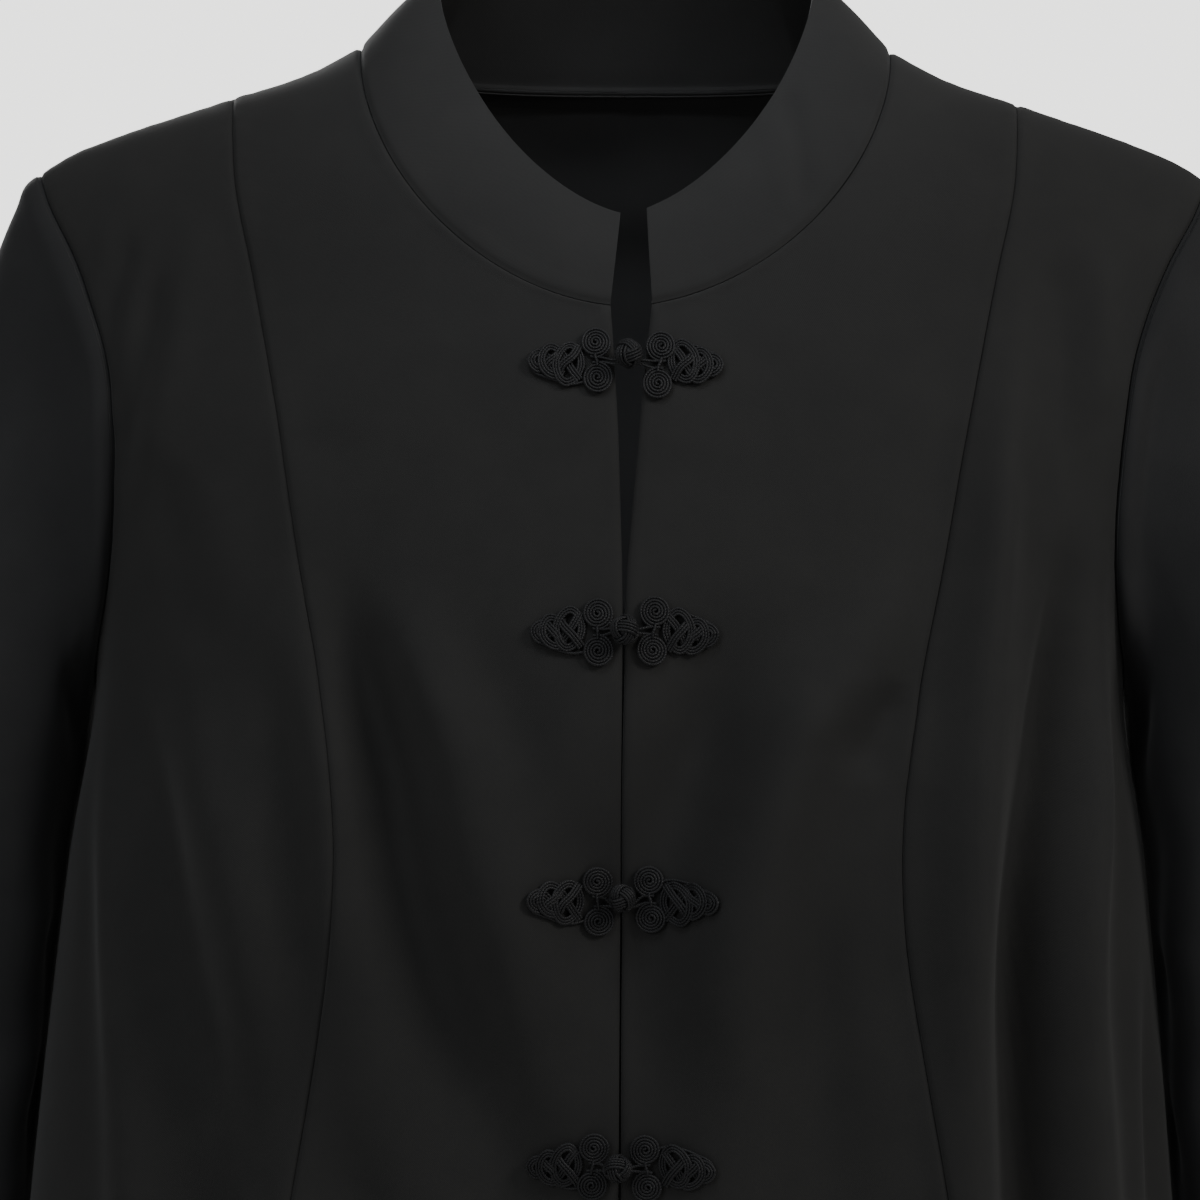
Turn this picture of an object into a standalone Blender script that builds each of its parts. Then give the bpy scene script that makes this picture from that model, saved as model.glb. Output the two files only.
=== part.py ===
"""A tang jacket: stand collar, princess-seamed fronts, one-piece back, set-in sleeves and cord frogs.

Sizes are in millimetres and are turned into metres when a mesh is made. Modelling is done from the
shoulder neck points: X runs to the wearer's left, Y to the back and Z up. The parent empty then puts
the nape, the centre back point of the neck seam, on the origin.
"""

import math
from collections import namedtuple

import bmesh
import bpy
import numpy as np
from mathutils import Matrix, Vector

MM = 0.001

# Driving dimensions.
CLOTH = 1.5  # wall of the body and sleeves
COLLAR_CLOTH = 2.4  # two plies and their interlining
SEAM_GAP = 0.3
MERGE = 0.05  # points nearer than this are one point
LEAST_LEAN = 0.07  # allowance for a wall that leans over its seam, as a share of the cloth
WALL_LEAN = 0.75  # and what the turn beside the seam adds to it
HEM = -580.0  # hem height, below the shoulder neck points
UNDERARM = -205.0
NECK_HALF = 88.0
NECK_FRONT_DROP = 85.0
NECK_BACK_DROP = 12.0
NECK_FRONT_ROUND = 1.8  # exponents of the superellipses that the neckline follows
NECK_BACK_ROUND = 2.6
NECK_SLOPE = 0.52  # how steeply the shoulder line reaches the neck
SHOULDER_HALF = 194.0
SQUARENESS = 2.4  # exponent of the body's sections
FRONT_ARCH = 120.0  # how far below the shoulder line each face reaches its full depth
BACK_ARCH = 90.0

# Half widths on the wearer's left and right, and depths in front of and behind the shoulder line.
Section = namedtuple("Section", "height left right front back")
SECTIONS = (
    Section(30, 214, 214, 50, 52),
    Section(0, 214, 214, 52, 60),
    Section(-43, 210, 211, 56, 69),
    Section(-85, 197, 200, 62, 79),
    Section(-125, 183, 187, 79, 87),
    Section(-165, 172, 178, 95, 91),
    Section(UNDERARM, 167, 174, 106, 92),
    Section(-270, 175, 183, 114, 89),
    Section(-330, 181, 190, 112, 86),
    Section(-400, 187, 197, 111, 86),
    Section(-480, 193, 204, 112, 91),
    Section(HEM, 199, 210, 115, 97),
)

ShoulderPoint = namedtuple("ShoulderPoint", "across height")
SHOULDER = (
    ShoulderPoint(NECK_HALF, 0),
    ShoulderPoint(104, -8.3),
    ShoulderPoint(129.5, -17),
    ShoulderPoint(150, -23.7),
    ShoulderPoint(171, -31),
    ShoulderPoint(186, -37.5),
    ShoulderPoint(SHOULDER_HALF, -43),
    ShoulderPoint(214, -60),
)

# Seam lines as seen from the front: how far each is from the centre at each height.
SeamPoint = namedtuple("SeamPoint", "height across")
PRINCESS = (
    SeamPoint(-17, 130),
    SeamPoint(-46, 127.5),
    SeamPoint(-73, 121.5),
    SeamPoint(-126, 110.5),
    SeamPoint(-169, 103),
    SeamPoint(-206, 96),
    SeamPoint(-230, 92.3),
    SeamPoint(-255, 90.4),
    SeamPoint(-280, 90.9),
    SeamPoint(-318, 95.3),
    SeamPoint(-363, 102),
    SeamPoint(-430, 111),
    SeamPoint(-500, 119.5),
    SeamPoint(HEM, 127.5),
)
BACK_GUIDE = (
    SeamPoint(-17, 129.5),
    SeamPoint(-85, 112),
    SeamPoint(-205, 100),
    SeamPoint(-330, 98),
    SeamPoint(HEM, 122),
)

# The right armhole; the left one is nearer the centre by as much as the body is narrower there.
ArmholePoint = namedtuple("ArmholePoint", "height front back")
ARMHOLE = (
    ArmholePoint(-43, SHOULDER_HALF, SHOULDER_HALF),
    ArmholePoint(-53, 190, 191),
    ArmholePoint(-69, 181.5, 184),
    ArmholePoint(-98, 171, 176),
    ArmholePoint(-124, 167, 171.5),
    ArmholePoint(-147, 166, 170),
    ArmholePoint(-180, 168.5, 170.5),
    ArmholePoint(UNDERARM, 174, 174),
)
ARMHOLE_WAIST = -147.0  # the height at which the armhole is widest from front to back

# The centre front edges stand apart at the neck and come together below the first frog.
FrontEdge = namedtuple("FrontEdge", "height left right")
FRONT_EDGES = (
    FrontEdge(-60, 9.6, 4.8),
    FrontEdge(-85, 9.0, 4.4),
    FrontEdge(-105, 7.2, 3.2),
    FrontEdge(-120, 5.9, 2.2),
    FrontEdge(-150, 3.4, 1.0),
    FrontEdge(-172, 1.8, 0.3),
    FrontEdge(-205, 1.5, 0.0),
    FrontEdge(HEM, 1.5, 0.0),
)

# The largest folds. Girth runs from 0 at the centre front through 1 at the side to 2 at the centre back.
# A fold starts at its top, is full from the next height down, and is a trough where its depth is negative.
Fold = namedtuple("Fold", "girth_top girth_hem top full width depth")
FOLDS = (
    Fold(0.27, 0.02, -150, -290, 0.11, -4.0),
    Fold(0.50, 0.34, -160, -320, 0.09, 3.0),
    Fold(0.66, 0.48, -190, -330, 0.09, -5.0),
    Fold(0.84, 0.66, -210, -400, 0.10, 4.0),
    Fold(1.22, 1.24, -170, -380, 0.12, -5.0),
    Fold(1.45, 1.48, -150, -420, 0.12, 4.0),
    Fold(1.70, 1.72, -190, -430, 0.11, -4.0),
)

# Apart is the distance of a sleeve's inner side from the body's side; back is how far behind the
# shoulder line the sleeve's middle hangs.
SleeveSection = namedtuple("SleeveSection", "height apart half_width half_depth back")
SLEEVE = (
    SleeveSection(-245, 1.6, 38, 60, 20),
    SleeveSection(-300, 1.4, 38.5, 58, 23),
    SleeveSection(-383, 1.3, 38.5, 54, 24),
    SleeveSection(-480, 2.0, 37.5, 50, 20),
    SleeveSection(-603, 7.0, 35, 45, 8),
)
CAP_RINGS = 7  # rings from the armhole to the first full section of the sleeve
SLEEVE_RINGS = 8
SLEEVE_SLOPE = Vector((0.2, 0, -1)).normalized()
CAP_SPREAD = 0.25  # how far the cloth runs on as it leaves the armhole's top, as a share of the cap
UNDERARM_SPREAD = 0.45

# Angle is 0 at the outside of the sleeve, a half turn at the underarm, and smaller towards the front.
SleeveFold = namedtuple("SleeveFold", "angle top full bottom width depth")
SLEEVE_FOLDS = (
    SleeveFold(0.62, 0.10, 0.34, 0.80, 0.16, -8.0),
    SleeveFold(0.36, 0.15, 0.40, 0.90, 0.14, 4.0),
    SleeveFold(1.42, 0.12, 0.36, 0.75, 0.16, -6.0),
)

ROWS_BELOW = 10  # rows from the hem to the underarm
ROWS_ABOVE = 13  # rows from the underarm to the shoulder line
NECK_ROW = 5  # the row above the underarm that ends at the centre front neck point
NAPE_ROW = 6  # and the one that ends at the nape
CENTRE_COLUMNS = 6
SIDE_COLUMNS = 7

COLLAR_TOP_HALF = 63.0
COLLAR_SIDE_HEIGHT = 25.0
COLLAR_FRONT_HEIGHT = -55.0
COLLAR_BACK_HEIGHT = 29.0
COLLAR_TOP_FRONT = 45.0
COLLAR_TOP_BACK = 31.0
COLLAR_ROUND = 1.6
COLLAR_TOP_EDGE = FrontEdge(COLLAR_FRONT_HEIGHT, 7.2, 1.3)
COLLAR_ROWS = 4
COLLAR_LEAN = 0.3  # how far the neck edge's wall leans over the seam, as a share of the cloth
TAPE_EDGE = 2.0
TAPE_WIDTH = 9.0
TAPE_CLOTH = 0.8
TAPE_LIFT = 0.9

# Frogs: cord fastenings, each a knot side and a loop side with a leaf and two coils.
FROG_COUNT = 5
FROG_FIRST = -104.0
FROG_PITCH = 84.5
FROG_CENTRE = 0.8  # the closing line's distance from the centre plane
COIL_RADIUS = 5.4
COIL_THICK = 2.4
COIL_ACROSS = 8.9  # from the closing line to a coil's centre
COIL_APART = 5.9  # from the frog's middle line to a coil's centre
LEAF_LENGTH = 17.0
LEAF_HALF = 8.0
LEAF_THICK = 2.6
LEAF_START = 12.6
LEAF_STEPS = 12
KNOT_RADIUS = 4.5
STEM_RADIUS = 0.9
STEM_HEIGHT = 1.3
FROG_LIFT = 0.45  # clear of the fronts
FIRST_FROG_STRETCH = 1.4  # the first frog spans the open neck

JACKET = (0.016, 0.016, 0.016, 1.0)
CORD = (0.012, 0.012, 0.013, 1.0)


def read(table, name, at, key="height"):
    """A table's column read smoothly between its rows."""
    rows = sorted(table, key=lambda row: getattr(row, key))
    places = np.array([getattr(row, key) for row in rows], float)
    values = np.array([getattr(row, name) for row in rows], float)
    slopes = np.gradient(values, places)
    k = np.clip(np.searchsorted(places, at) - 1, 0, len(rows) - 2)
    step = places[k + 1] - places[k]
    t = np.clip((at - places[k]) / step, 0, 1)
    start = (1 - t) ** 2 * ((1 + 2 * t) * values[k] + t * step * slopes[k])
    end = t**2 * ((3 - 2 * t) * values[k + 1] - (1 - t) * step * slopes[k + 1])
    return start + end


def smooth(t):
    t = np.clip(t, 0, 1)
    return t * t * (3 - 2 * t)


def superellipse(angle, power):
    """Sine and cosine raised so that a section is squarer, or rounder, than an ellipse."""
    return np.sin(angle) ** (2 / power), np.cos(angle) ** (2 / power)


def ridge_height(across):
    """The shoulder line's height. Inside the neck it is rounded over, where the neckline cuts it away."""
    inside = NECK_SLOPE * (NECK_HALF**2 - across**2) / (2 * NECK_HALF)
    outside = read(SHOULDER, "height", across, "across")
    return np.where(across < NECK_HALF, inside, outside)


def half_width(side, height):
    return read(SECTIONS, "left" if side > 0 else "right", height)


def around_at(side, across, height):
    """How far round from the centre line, 0 to 1, a point of the body seen from the front lies."""
    share = np.clip(across / half_width(side, height), 0, 1)
    return float(np.arcsin(share ** (SQUARENESS / 2)) / (math.pi / 2))


def fold_depth(girth, height):
    """How far the folds move the cloth out."""
    total = 0.0
    for fold in FOLDS:
        down = np.clip((fold.top - height) / (fold.top - HEM), 0, 1)
        middle = fold.girth_top + (fold.girth_hem - fold.girth_top) * down
        growth = smooth((fold.top - height) / (fold.top - fold.full))
        off = np.clip(np.abs(girth - middle) / fold.width, 0, 1)
        total = total + fold.depth * growth * np.cos(off * math.pi / 2) ** 2
    return total


def body_point(side, face, around, height):
    """A point of the body's outer side. Side is 1 for the wearer's left and face is 1 for the back."""
    sine, cosine = superellipse(around * math.pi / 2, SQUARENESS)
    half = half_width(side, height)
    depth = read(SECTIONS, "front" if face < 0 else "back", height)
    reach = FRONT_ARCH if face < 0 else BACK_ARCH
    across = half * sine
    below = np.clip(ridge_height(across) - height, 0, reach)
    arch = np.sqrt(np.clip(1 - (1 - below / reach) ** 2, 0, 1))
    out = np.array([sine / half, face * cosine / depth, 0])
    girth = around if face < 0 else 2 - around
    point = np.array([across, face * depth * cosine * arch, height])
    return (point + fold_depth(girth, height) * out / np.linalg.norm(out)) * [side, 1, 1]


def arc_below(height, across, reach):
    """Distance below the shoulder line, counted along the arch."""
    below = max(float(ridge_height(across)) - height, 0.0)
    if below < reach:
        return reach * math.acos(1 - below / reach)
    return reach * math.pi / 2 + below - reach


def height_at_arc(side, around, arc, reach):
    """The height of the point that lies that far below the shoulder line."""
    turn = min(arc / reach, math.pi / 2)
    below = reach * (1 - math.cos(turn)) + max(arc - reach * math.pi / 2, 0.0)
    height = -below
    for _ in range(6):  # the shoulder line's height depends on how wide the section is
        across = half_width(side, height) * math.sin(around * math.pi / 2) ** (2 / SQUARENESS)
        height = float(ridge_height(across)) - below
    return height


# Each line below lists (around, height) for every row, from the hem to the shoulder line.


def lower_heights():
    return [float(height) for height in np.linspace(HEM, UNDERARM, ROWS_BELOW + 1)]


def line_by_arc(side, table, reach):
    """A seam that runs from the hem to the shoulder line, with its upper rows evenly spaced round the arch."""
    points = [(around_at(side, read(table, "across", h), h), h) for h in lower_heights()]
    start = arc_below(UNDERARM, read(table, "across", UNDERARM), reach)
    top = max(row.height for row in table)
    for row in range(1, ROWS_ABOVE + 1):
        arc = start * (1 - row / ROWS_ABOVE)
        height = top
        for _ in range(12):
            across = read(table, "across", height)
            height = height_at_arc(side, around_at(side, across, height), arc, reach)
        points.append((around_at(side, across, height), height))
    return points


def neck_point(across, drop, power):
    """The height of the neckline at that distance from the centre."""
    return -drop * (1 - (across / NECK_HALF) ** power) ** (1 / power)


def centre_line(side, edge, drop, power, neck_row):
    """The centre edge from the hem to the neck, and then the neckline to the shoulder line."""
    points = [(around_at(side, edge(h), h), h) for h in lower_heights()]
    start = edge(-drop)
    corner = neck_point(start, drop, power)
    for height in np.linspace(UNDERARM, corner, neck_row + 1)[1:]:
        points.append((around_at(side, edge(height), height), float(height)))
    first = math.asin((start / NECK_HALF) ** (power / 2))
    steps = ROWS_ABOVE - neck_row
    for turn in np.linspace(first, math.pi / 2, steps + 1)[1:-1]:
        sine, cosine = superellipse(turn, power)
        height = -drop * cosine
        points.append((around_at(side, NECK_HALF * sine, height), float(height)))
    points.append((around_at(side, NECK_HALF, 0.0), 0.0))
    return points


def armhole_height(turn):
    """Height at an angle that is 0 at the underarm and a half turn at the shoulder point."""
    top = SHOULDER[-2].height
    reach = ARMHOLE_WAIST - UNDERARM if turn < math.pi / 2 else top - ARMHOLE_WAIST
    return ARMHOLE_WAIST - reach * math.cos(turn)


def side_line(side, face):
    """The side seam from the hem to the underarm, and then the armhole to the shoulder point."""
    points = [(1.0, height) for height in lower_heights()]
    name = "front" if face < 0 else "back"
    for turn in np.linspace(0, math.pi, ROWS_ABOVE + 1)[1:]:
        height = armhole_height(turn)
        across = read(ARMHOLE, name, height) * half_width(side, height) / half_width(-1, height)
        points.append((around_at(side, across, height), height))
    return points


def strip(side, face, inner, outer, columns):
    """A grid of points on the body between two lines, [row, column, axis]."""
    reach = FRONT_ARCH if face < 0 else BACK_ARCH
    rows = []
    for row, ((around_in, height_in), (around_out, height_out)) in enumerate(zip(inner, outer, strict=True)):
        arcs = []
        for around, height in ((around_in, height_in), (around_out, height_out)):
            across = abs(body_point(side, face, around, height)[0])
            arcs.append(arc_below(height, across, reach))
        weight = smooth((row - ROWS_BELOW) / ROWS_ABOVE)
        points = []
        for share in np.linspace(0, 1, columns + 1):
            around = around_in + (around_out - around_in) * share
            level = height_in + (height_out - height_in) * share
            arched = height_at_arc(side, around, arcs[0] + (arcs[1] - arcs[0]) * share, reach)
            height = level if share in (0, 1) else level + (arched - level) * weight
            points.append(body_point(side, face, around, height))
        rows.append(points)
    grid = np.array(rows)
    grid[-1, :, 1] = 0.0  # the shoulder seam
    return grid


def seam_allowance(edge, second, third):
    """Half the gap, and what a wall leans over its seam, for an edge and the two lines beside it."""
    near = second - edge
    far = third - second
    lengths = np.linalg.norm(near, axis=1) * np.linalg.norm(far, axis=1)
    turn = (near * far).sum(axis=1) / lengths
    return SEAM_GAP / 2 + CLOTH * (LEAST_LEAN + WALL_LEAN * np.sqrt(np.clip(1 - turn**2, 0, 1)))


def open_seams(face, grid, first, last):
    """Draws in the shoulder seam, and the first and last columns where they are seams."""
    for column, step, rows in ((0, 1, first), (-1, -1, last)):
        if rows:
            lines = [grid[rows, column + step * k] for k in range(3)]
            along = lines[1] - lines[0]
            along /= np.linalg.norm(along, axis=1, keepdims=True)
            grid[rows, column] += along * seam_allowance(*lines)[:, None]
    grid[-1, :, 1] = face * seam_allowance(grid[-1], grid[-2], grid[-3])
    return grid


ALL_ROWS = slice(0, ROWS_BELOW + ROWS_ABOVE + 1)
SIDE_SEAM_ROWS = slice(0, ROWS_BELOW + 1)


def front_edge(side):
    name = "left" if side > 0 else "right"
    return lambda height: float(read(FRONT_EDGES, name, height))


def front_centre_line(side):
    return centre_line(side, front_edge(side), NECK_FRONT_DROP, NECK_FRONT_ROUND, NECK_ROW)


def back_centre_line(side):
    return centre_line(side, lambda height: 0.0, NECK_BACK_DROP, NECK_BACK_ROUND, NAPE_ROW)


def front_centre_grid(side):
    princess = line_by_arc(side, PRINCESS, FRONT_ARCH)
    grid = strip(side, -1, front_centre_line(side), princess, CENTRE_COLUMNS)
    return open_seams(-1, grid, None, ALL_ROWS)


def front_side_grid(side):
    princess = line_by_arc(side, PRINCESS, FRONT_ARCH)
    grid = strip(side, -1, princess, side_line(side, -1), SIDE_COLUMNS)
    return open_seams(-1, grid, ALL_ROWS, SIDE_SEAM_ROWS)


def back_grids():
    """The back's right and left halves, which meet at the centre up to the nape."""
    halves = []
    for side in (-1, 1):
        guide = line_by_arc(side, BACK_GUIDE, BACK_ARCH)
        inner = strip(side, 1, back_centre_line(side), guide, CENTRE_COLUMNS)
        outer = strip(side, 1, guide, side_line(side, 1), SIDE_COLUMNS)
        whole = np.concatenate([inner, outer[:, 1:]], axis=1)
        halves.append(open_seams(1, whole, None, SIDE_SEAM_ROWS))
    return halves


def armhole_ring(side):
    """The armhole's edge, from the shoulder point down the front and back up."""
    front = [body_point(side, -1, *point) for point in side_line(side, -1)[ROWS_BELOW:]]
    back = [body_point(side, 1, *point) for point in side_line(side, 1)[ROWS_BELOW:]]
    front[-1][1] = 0.0
    return np.array(front[::-1] + back[1:-1])


def sleeve_ring(side, height):
    """A section of the sleeve, starting at its outside and going round by the front."""
    half, depth = (read(SLEEVE, name, height) for name in ("half_width", "half_depth"))
    middle = half_width(side, height) + read(SLEEVE, "apart", height) + half
    back = read(SLEEVE, "back", height)
    turns = np.arange(2 * ROWS_ABOVE) * math.pi / ROWS_ABOVE
    return np.array([(side * (middle + half * math.cos(a)), back - depth * math.sin(a), height) for a in turns])


def leaving(side, turn):
    """The way the sleeve's cloth leaves the armhole, and how far it runs on."""
    top = (1 + math.cos(turn)) / 2
    direction = Vector((0.6 + 0.25 * top, -0.5 * math.sin(turn), -0.8 + 0.3 * top)).normalized()
    spread = UNDERARM_SPREAD + (CAP_SPREAD - UNDERARM_SPREAD) * top
    return np.array([direction.x * side, direction.y, direction.z]), spread


def sleeve_grid(side):
    """Rings from the armhole to the cuff, [ring, point, axis]."""
    leave = [leaving(side, turn) for turn in np.arange(2 * ROWS_ABOVE) * math.pi / ROWS_ABOVE]
    directions = np.array([direction for direction, _ in leave])
    spread = np.array([[amount] for _, amount in leave])
    start = armhole_ring(side) + directions * SEAM_GAP * 1.5
    first = sleeve_ring(side, SLEEVE[0].height)
    reach = np.linalg.norm(first - start, axis=1, keepdims=True)
    down = np.array(SLEEVE_SLOPE) * [side, 1, 1]
    rings = []
    for t in np.linspace(0, 1, CAP_RINGS + 1) ** 1.25:
        rings.append(
            (1 + 2 * t) * (1 - t) ** 2 * start
            + t * (1 - t) ** 2 * reach * spread * directions
            + t**2 * (3 - 2 * t) * first
            - t**2 * (1 - t) * reach * down
        )
    for height in np.linspace(SLEEVE[0].height, SLEEVE[-1].height, SLEEVE_RINGS + 1)[1:]:
        rings.append(sleeve_ring(side, height))
    return crease_sleeve(np.array(rings))


def crease_sleeve(grid):
    """Moves the rings' points in or out of the sleeve's folds."""
    centres = grid.mean(axis=1, keepdims=True)
    along = np.linspace(0, 1, len(grid))[:, None]
    turns = np.arange(grid.shape[1])[None, :] / ROWS_ABOVE
    move = np.zeros(grid.shape[:2])
    for fold in SLEEVE_FOLDS:
        off = np.clip(np.abs(turns - fold.angle) / fold.width, 0, 1)
        growth = smooth((along - fold.top) / (fold.full - fold.top)) * smooth((1 - along) / (1 - fold.bottom))
        move += fold.depth * growth * np.cos(off * math.pi / 2) ** 2
    out = grid - centres
    out[:, :, 2] = 0
    return grid + out / np.linalg.norm(out, axis=2, keepdims=True) * move[:, :, None]


def collar_top(side, face, turn):
    """A point of the collar's top edge. Turn is 0 at the centre and 1 at the side."""
    if face < 0:
        end = COLLAR_TOP_EDGE.left if side > 0 else COLLAR_TOP_EDGE.right
        first = math.asin((end / COLLAR_TOP_HALF) ** (COLLAR_ROUND / 2))
        sine, cosine = superellipse(first + (math.pi / 2 - first) * turn, COLLAR_ROUND)
        drop = COLLAR_SIDE_HEIGHT - COLLAR_FRONT_HEIGHT
        depth = COLLAR_TOP_FRONT * max(1 - sine**2.3, 0.0) ** (1 / 2.3)
        return np.array([side * COLLAR_TOP_HALF * sine, -depth, COLLAR_SIDE_HEIGHT - drop * cosine])
    sine, cosine = superellipse(turn * math.pi / 2, 2.2)
    rise = COLLAR_BACK_HEIGHT - COLLAR_SIDE_HEIGHT
    return np.array([side * COLLAR_TOP_HALF * sine, COLLAR_TOP_BACK * cosine, COLLAR_SIDE_HEIGHT + rise * cosine])


def neck_columns(side, face, line, first):
    """The neck seam's points from the centre to the shoulder, each with the collar's top edge above it."""
    points = line[ROWS_BELOW + first :]
    columns = []
    for k, (around, height) in enumerate(points):
        bottom = body_point(side, face, around, height)
        if k == len(points) - 1:
            bottom[1] = 0.0
        columns.append((bottom, collar_top(side, face, k / (len(points) - 1))))
    return columns


def collar_grid():
    """Rows from the neck seam to the top edge, and columns from the left front edge round the back."""
    front = {side: neck_columns(side, -1, front_centre_line(side), NECK_ROW) for side in (1, -1)}
    back = {side: neck_columns(side, 1, back_centre_line(side), NAPE_ROW) for side in (1, -1)}
    around = front[1] + back[1][-2::-1] + back[-1][1:-1] + front[-1][::-1]
    columns = []
    for bottom, top in around:
        rise = (top - bottom) / np.linalg.norm(top - bottom)
        start = bottom + rise * (SEAM_GAP + CLOTH * COLLAR_LEAN)
        columns.append([start + (top - start) * t for t in np.linspace(0, 1, COLLAR_ROWS + 1)])
    return np.array(columns).transpose(1, 0, 2)


def tape_grid():
    """The outer side of the tape that covers the back neck seam inside, from shoulder to shoulder."""
    halves = {}
    for side in (-1, 1):
        line = back_centre_line(side)[ROWS_BELOW + NAPE_ROW : -1]
        columns = []
        for around, height in line:
            arc = arc_below(height, abs(body_point(side, 1, around, height)[0]), BACK_ARCH)
            steps = (TAPE_EDGE, TAPE_EDGE + TAPE_WIDTH / 2, TAPE_EDGE + TAPE_WIDTH)
            heights = [height_at_arc(side, around, arc + step, BACK_ARCH) for step in steps]
            columns.append([inner_point(side, around, lower) for lower in heights])
        halves[side] = columns
    return np.array(halves[-1][:0:-1] + halves[1]).transpose(1, 0, 2)


def inner_point(side, around, height):
    """A point of the back moved in past its wall."""
    point = body_point(side, 1, around, height)
    near = 0.02
    up = body_point(side, 1, around, height + 2) - body_point(side, 1, around, height - 2)
    sideways = body_point(side, 1, around + near, height) - body_point(side, 1, max(around - near, 0), height)
    normal = np.cross(sideways, up) * side
    normal *= -1 if normal[1] < 0 else 1
    return point - normal / np.linalg.norm(normal) * (CLOTH + TAPE_LIFT)


def material(name, colour, roughness):
    made = bpy.data.materials.new(name)
    made.use_nodes = True
    shader = made.node_tree.nodes["Principled BSDF"]
    shader.inputs["Base Color"].default_value = colour
    shader.inputs["Roughness"].default_value = roughness
    shader.inputs["Metallic"].default_value = 0.0
    return made


def add_object(name, data, finish, collection, parent):
    data.materials.append(finish)
    made = bpy.data.objects.new(name, data)
    collection.objects.link(made)
    made.parent = parent
    return made


def sheet_mesh(name, grids, outward_from, closed=False):
    """An open surface through grids of points, facing away from the points it is measured from."""
    made = bmesh.new()
    for grid in grids:
        rows, columns = grid.shape[:2]
        verts = [[made.verts.new(Vector(p) * MM) for p in row] for row in grid]
        last = columns if closed else columns - 1
        faces = []
        for j in range(rows - 1):
            for i in range(last):
                k = (i + 1) % columns
                faces.append(made.faces.new((verts[j][i], verts[j][k], verts[j + 1][k], verts[j + 1][i])))
        made.normal_update()
        facing = 0.0
        for face in faces:
            centre = face.calc_center_median()
            facing += face.normal.dot(centre - outward_from(centre)) * face.calc_area()
        if facing < 0:
            bmesh.ops.reverse_faces(made, faces=faces)
    bmesh.ops.remove_doubles(made, verts=made.verts, dist=MERGE * MM)
    mesh = bpy.data.meshes.new(name)
    made.to_mesh(mesh)
    made.free()
    mesh.shade_smooth()
    return mesh


def middle_of_body(point):
    return Vector((0, 0, point.z))


def add_wall(made, thickness):
    """Turns an open surface into cloth, with the wall inside the modelled surface."""
    wall = made.modifiers.new("wall", "SOLIDIFY")
    wall.thickness = thickness * MM
    wall.offset = -1
    wall.use_even_offset = True
    wall.use_quality_normals = True
    return made


def add_body(collection, parent, cloth):
    for name, side in (("left", 1), ("right", -1)):
        for panel, grid in (("front_centre", front_centre_grid(side)), ("front_side", front_side_grid(side))):
            mesh = sheet_mesh(f"{panel}_{name}", [grid], middle_of_body)
            add_wall(add_object(f"{panel}_{name}", mesh, cloth, collection, parent), CLOTH)
    back = sheet_mesh("back", back_grids(), middle_of_body)
    add_wall(add_object("back", back, cloth, collection, parent), CLOTH)


def add_sleeves(collection, parent, cloth):
    for name, side in (("left", 1), ("right", -1)):
        grid = sleeve_grid(side)
        centres = grid.mean(axis=1) * MM

        def nearest(point, centres=centres):
            return Vector(centres[np.abs(centres[:, 2] - point.z).argmin()])

        mesh = sheet_mesh(f"sleeve_{name}", [grid], nearest, closed=True)
        add_wall(add_object(f"sleeve_{name}", mesh, cloth, collection, parent), CLOTH)


def add_collar(collection, parent, cloth):
    collar = sheet_mesh("collar", [collar_grid()], middle_of_body)
    add_wall(add_object("collar", collar, cloth, collection, parent), COLLAR_CLOTH)
    tape = sheet_mesh("neck_tape", [tape_grid()], middle_of_body)
    add_wall(add_object("neck_tape", tape, cloth, collection, parent), TAPE_CLOTH)


def lay_on_front(shape, height):
    """Moves a shape modelled flat, in millimetres across, up and out, onto the fronts at that height."""
    for vert in shape.verts:
        across, up, out = vert.co

        def at(x, z):
            side = 1 if x > 0 else -1
            return Vector(body_point(side, -1, around_at(side, abs(x), z), z))

        z = height + up
        start = across + (3 if abs(across) < 3 else 0) * (1 if across > 0 else -1)
        sideways = (at(start + 2, z) - at(start - 2, z)).normalized()
        upward = (at(start, z + 4) - at(start, z - 4)).normalized()
        vert.co = (at(across, z) + sideways.cross(upward).normalized() * out) * MM


def laid_object(name, build, height, cord, collection, parent):
    """An object made of one flat-modelled bmesh shape laid on the fronts."""
    shape = bmesh.new()
    build(shape)
    lay_on_front(shape, height)
    bmesh.ops.recalc_face_normals(shape, faces=shape.faces)
    mesh = bpy.data.meshes.new(name)
    shape.to_mesh(mesh)
    shape.free()
    return add_object(name, mesh, cord, collection, parent)


def leaf(side, start):
    """A pointed leaf: its broad end at the coils and its tip outward."""

    def build(shape):
        outline = []
        for step in range(LEAF_STEPS + 1):
            share = step / LEAF_STEPS
            half = LEAF_HALF * (1 - share**1.7) ** 0.75 * (0.82 + 0.18 * math.sin(share * math.pi))
            outline.append((FROG_CENTRE + side * (start + LEAF_LENGTH * share), half))
        outline += [(x, -y) for x, y in outline[-2::-1]]
        face = shape.faces.new([shape.verts.new((x, y, FROG_LIFT)) for x, y in outline])
        top = bmesh.ops.extrude_face_region(shape, geom=[face])["geom"]
        bmesh.ops.translate(shape, vec=(0, 0, LEAF_THICK), verts=[v for v in top if isinstance(v, bmesh.types.BMVert)])

    return build


def coil(across, up):
    def build(shape):
        bmesh.ops.create_cone(
            shape, cap_ends=True, segments=20, radius1=COIL_RADIUS, radius2=COIL_RADIUS, depth=COIL_THICK
        )
        bmesh.ops.translate(shape, vec=(across, up, FROG_LIFT + COIL_THICK / 2), verts=shape.verts)

    return build


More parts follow.
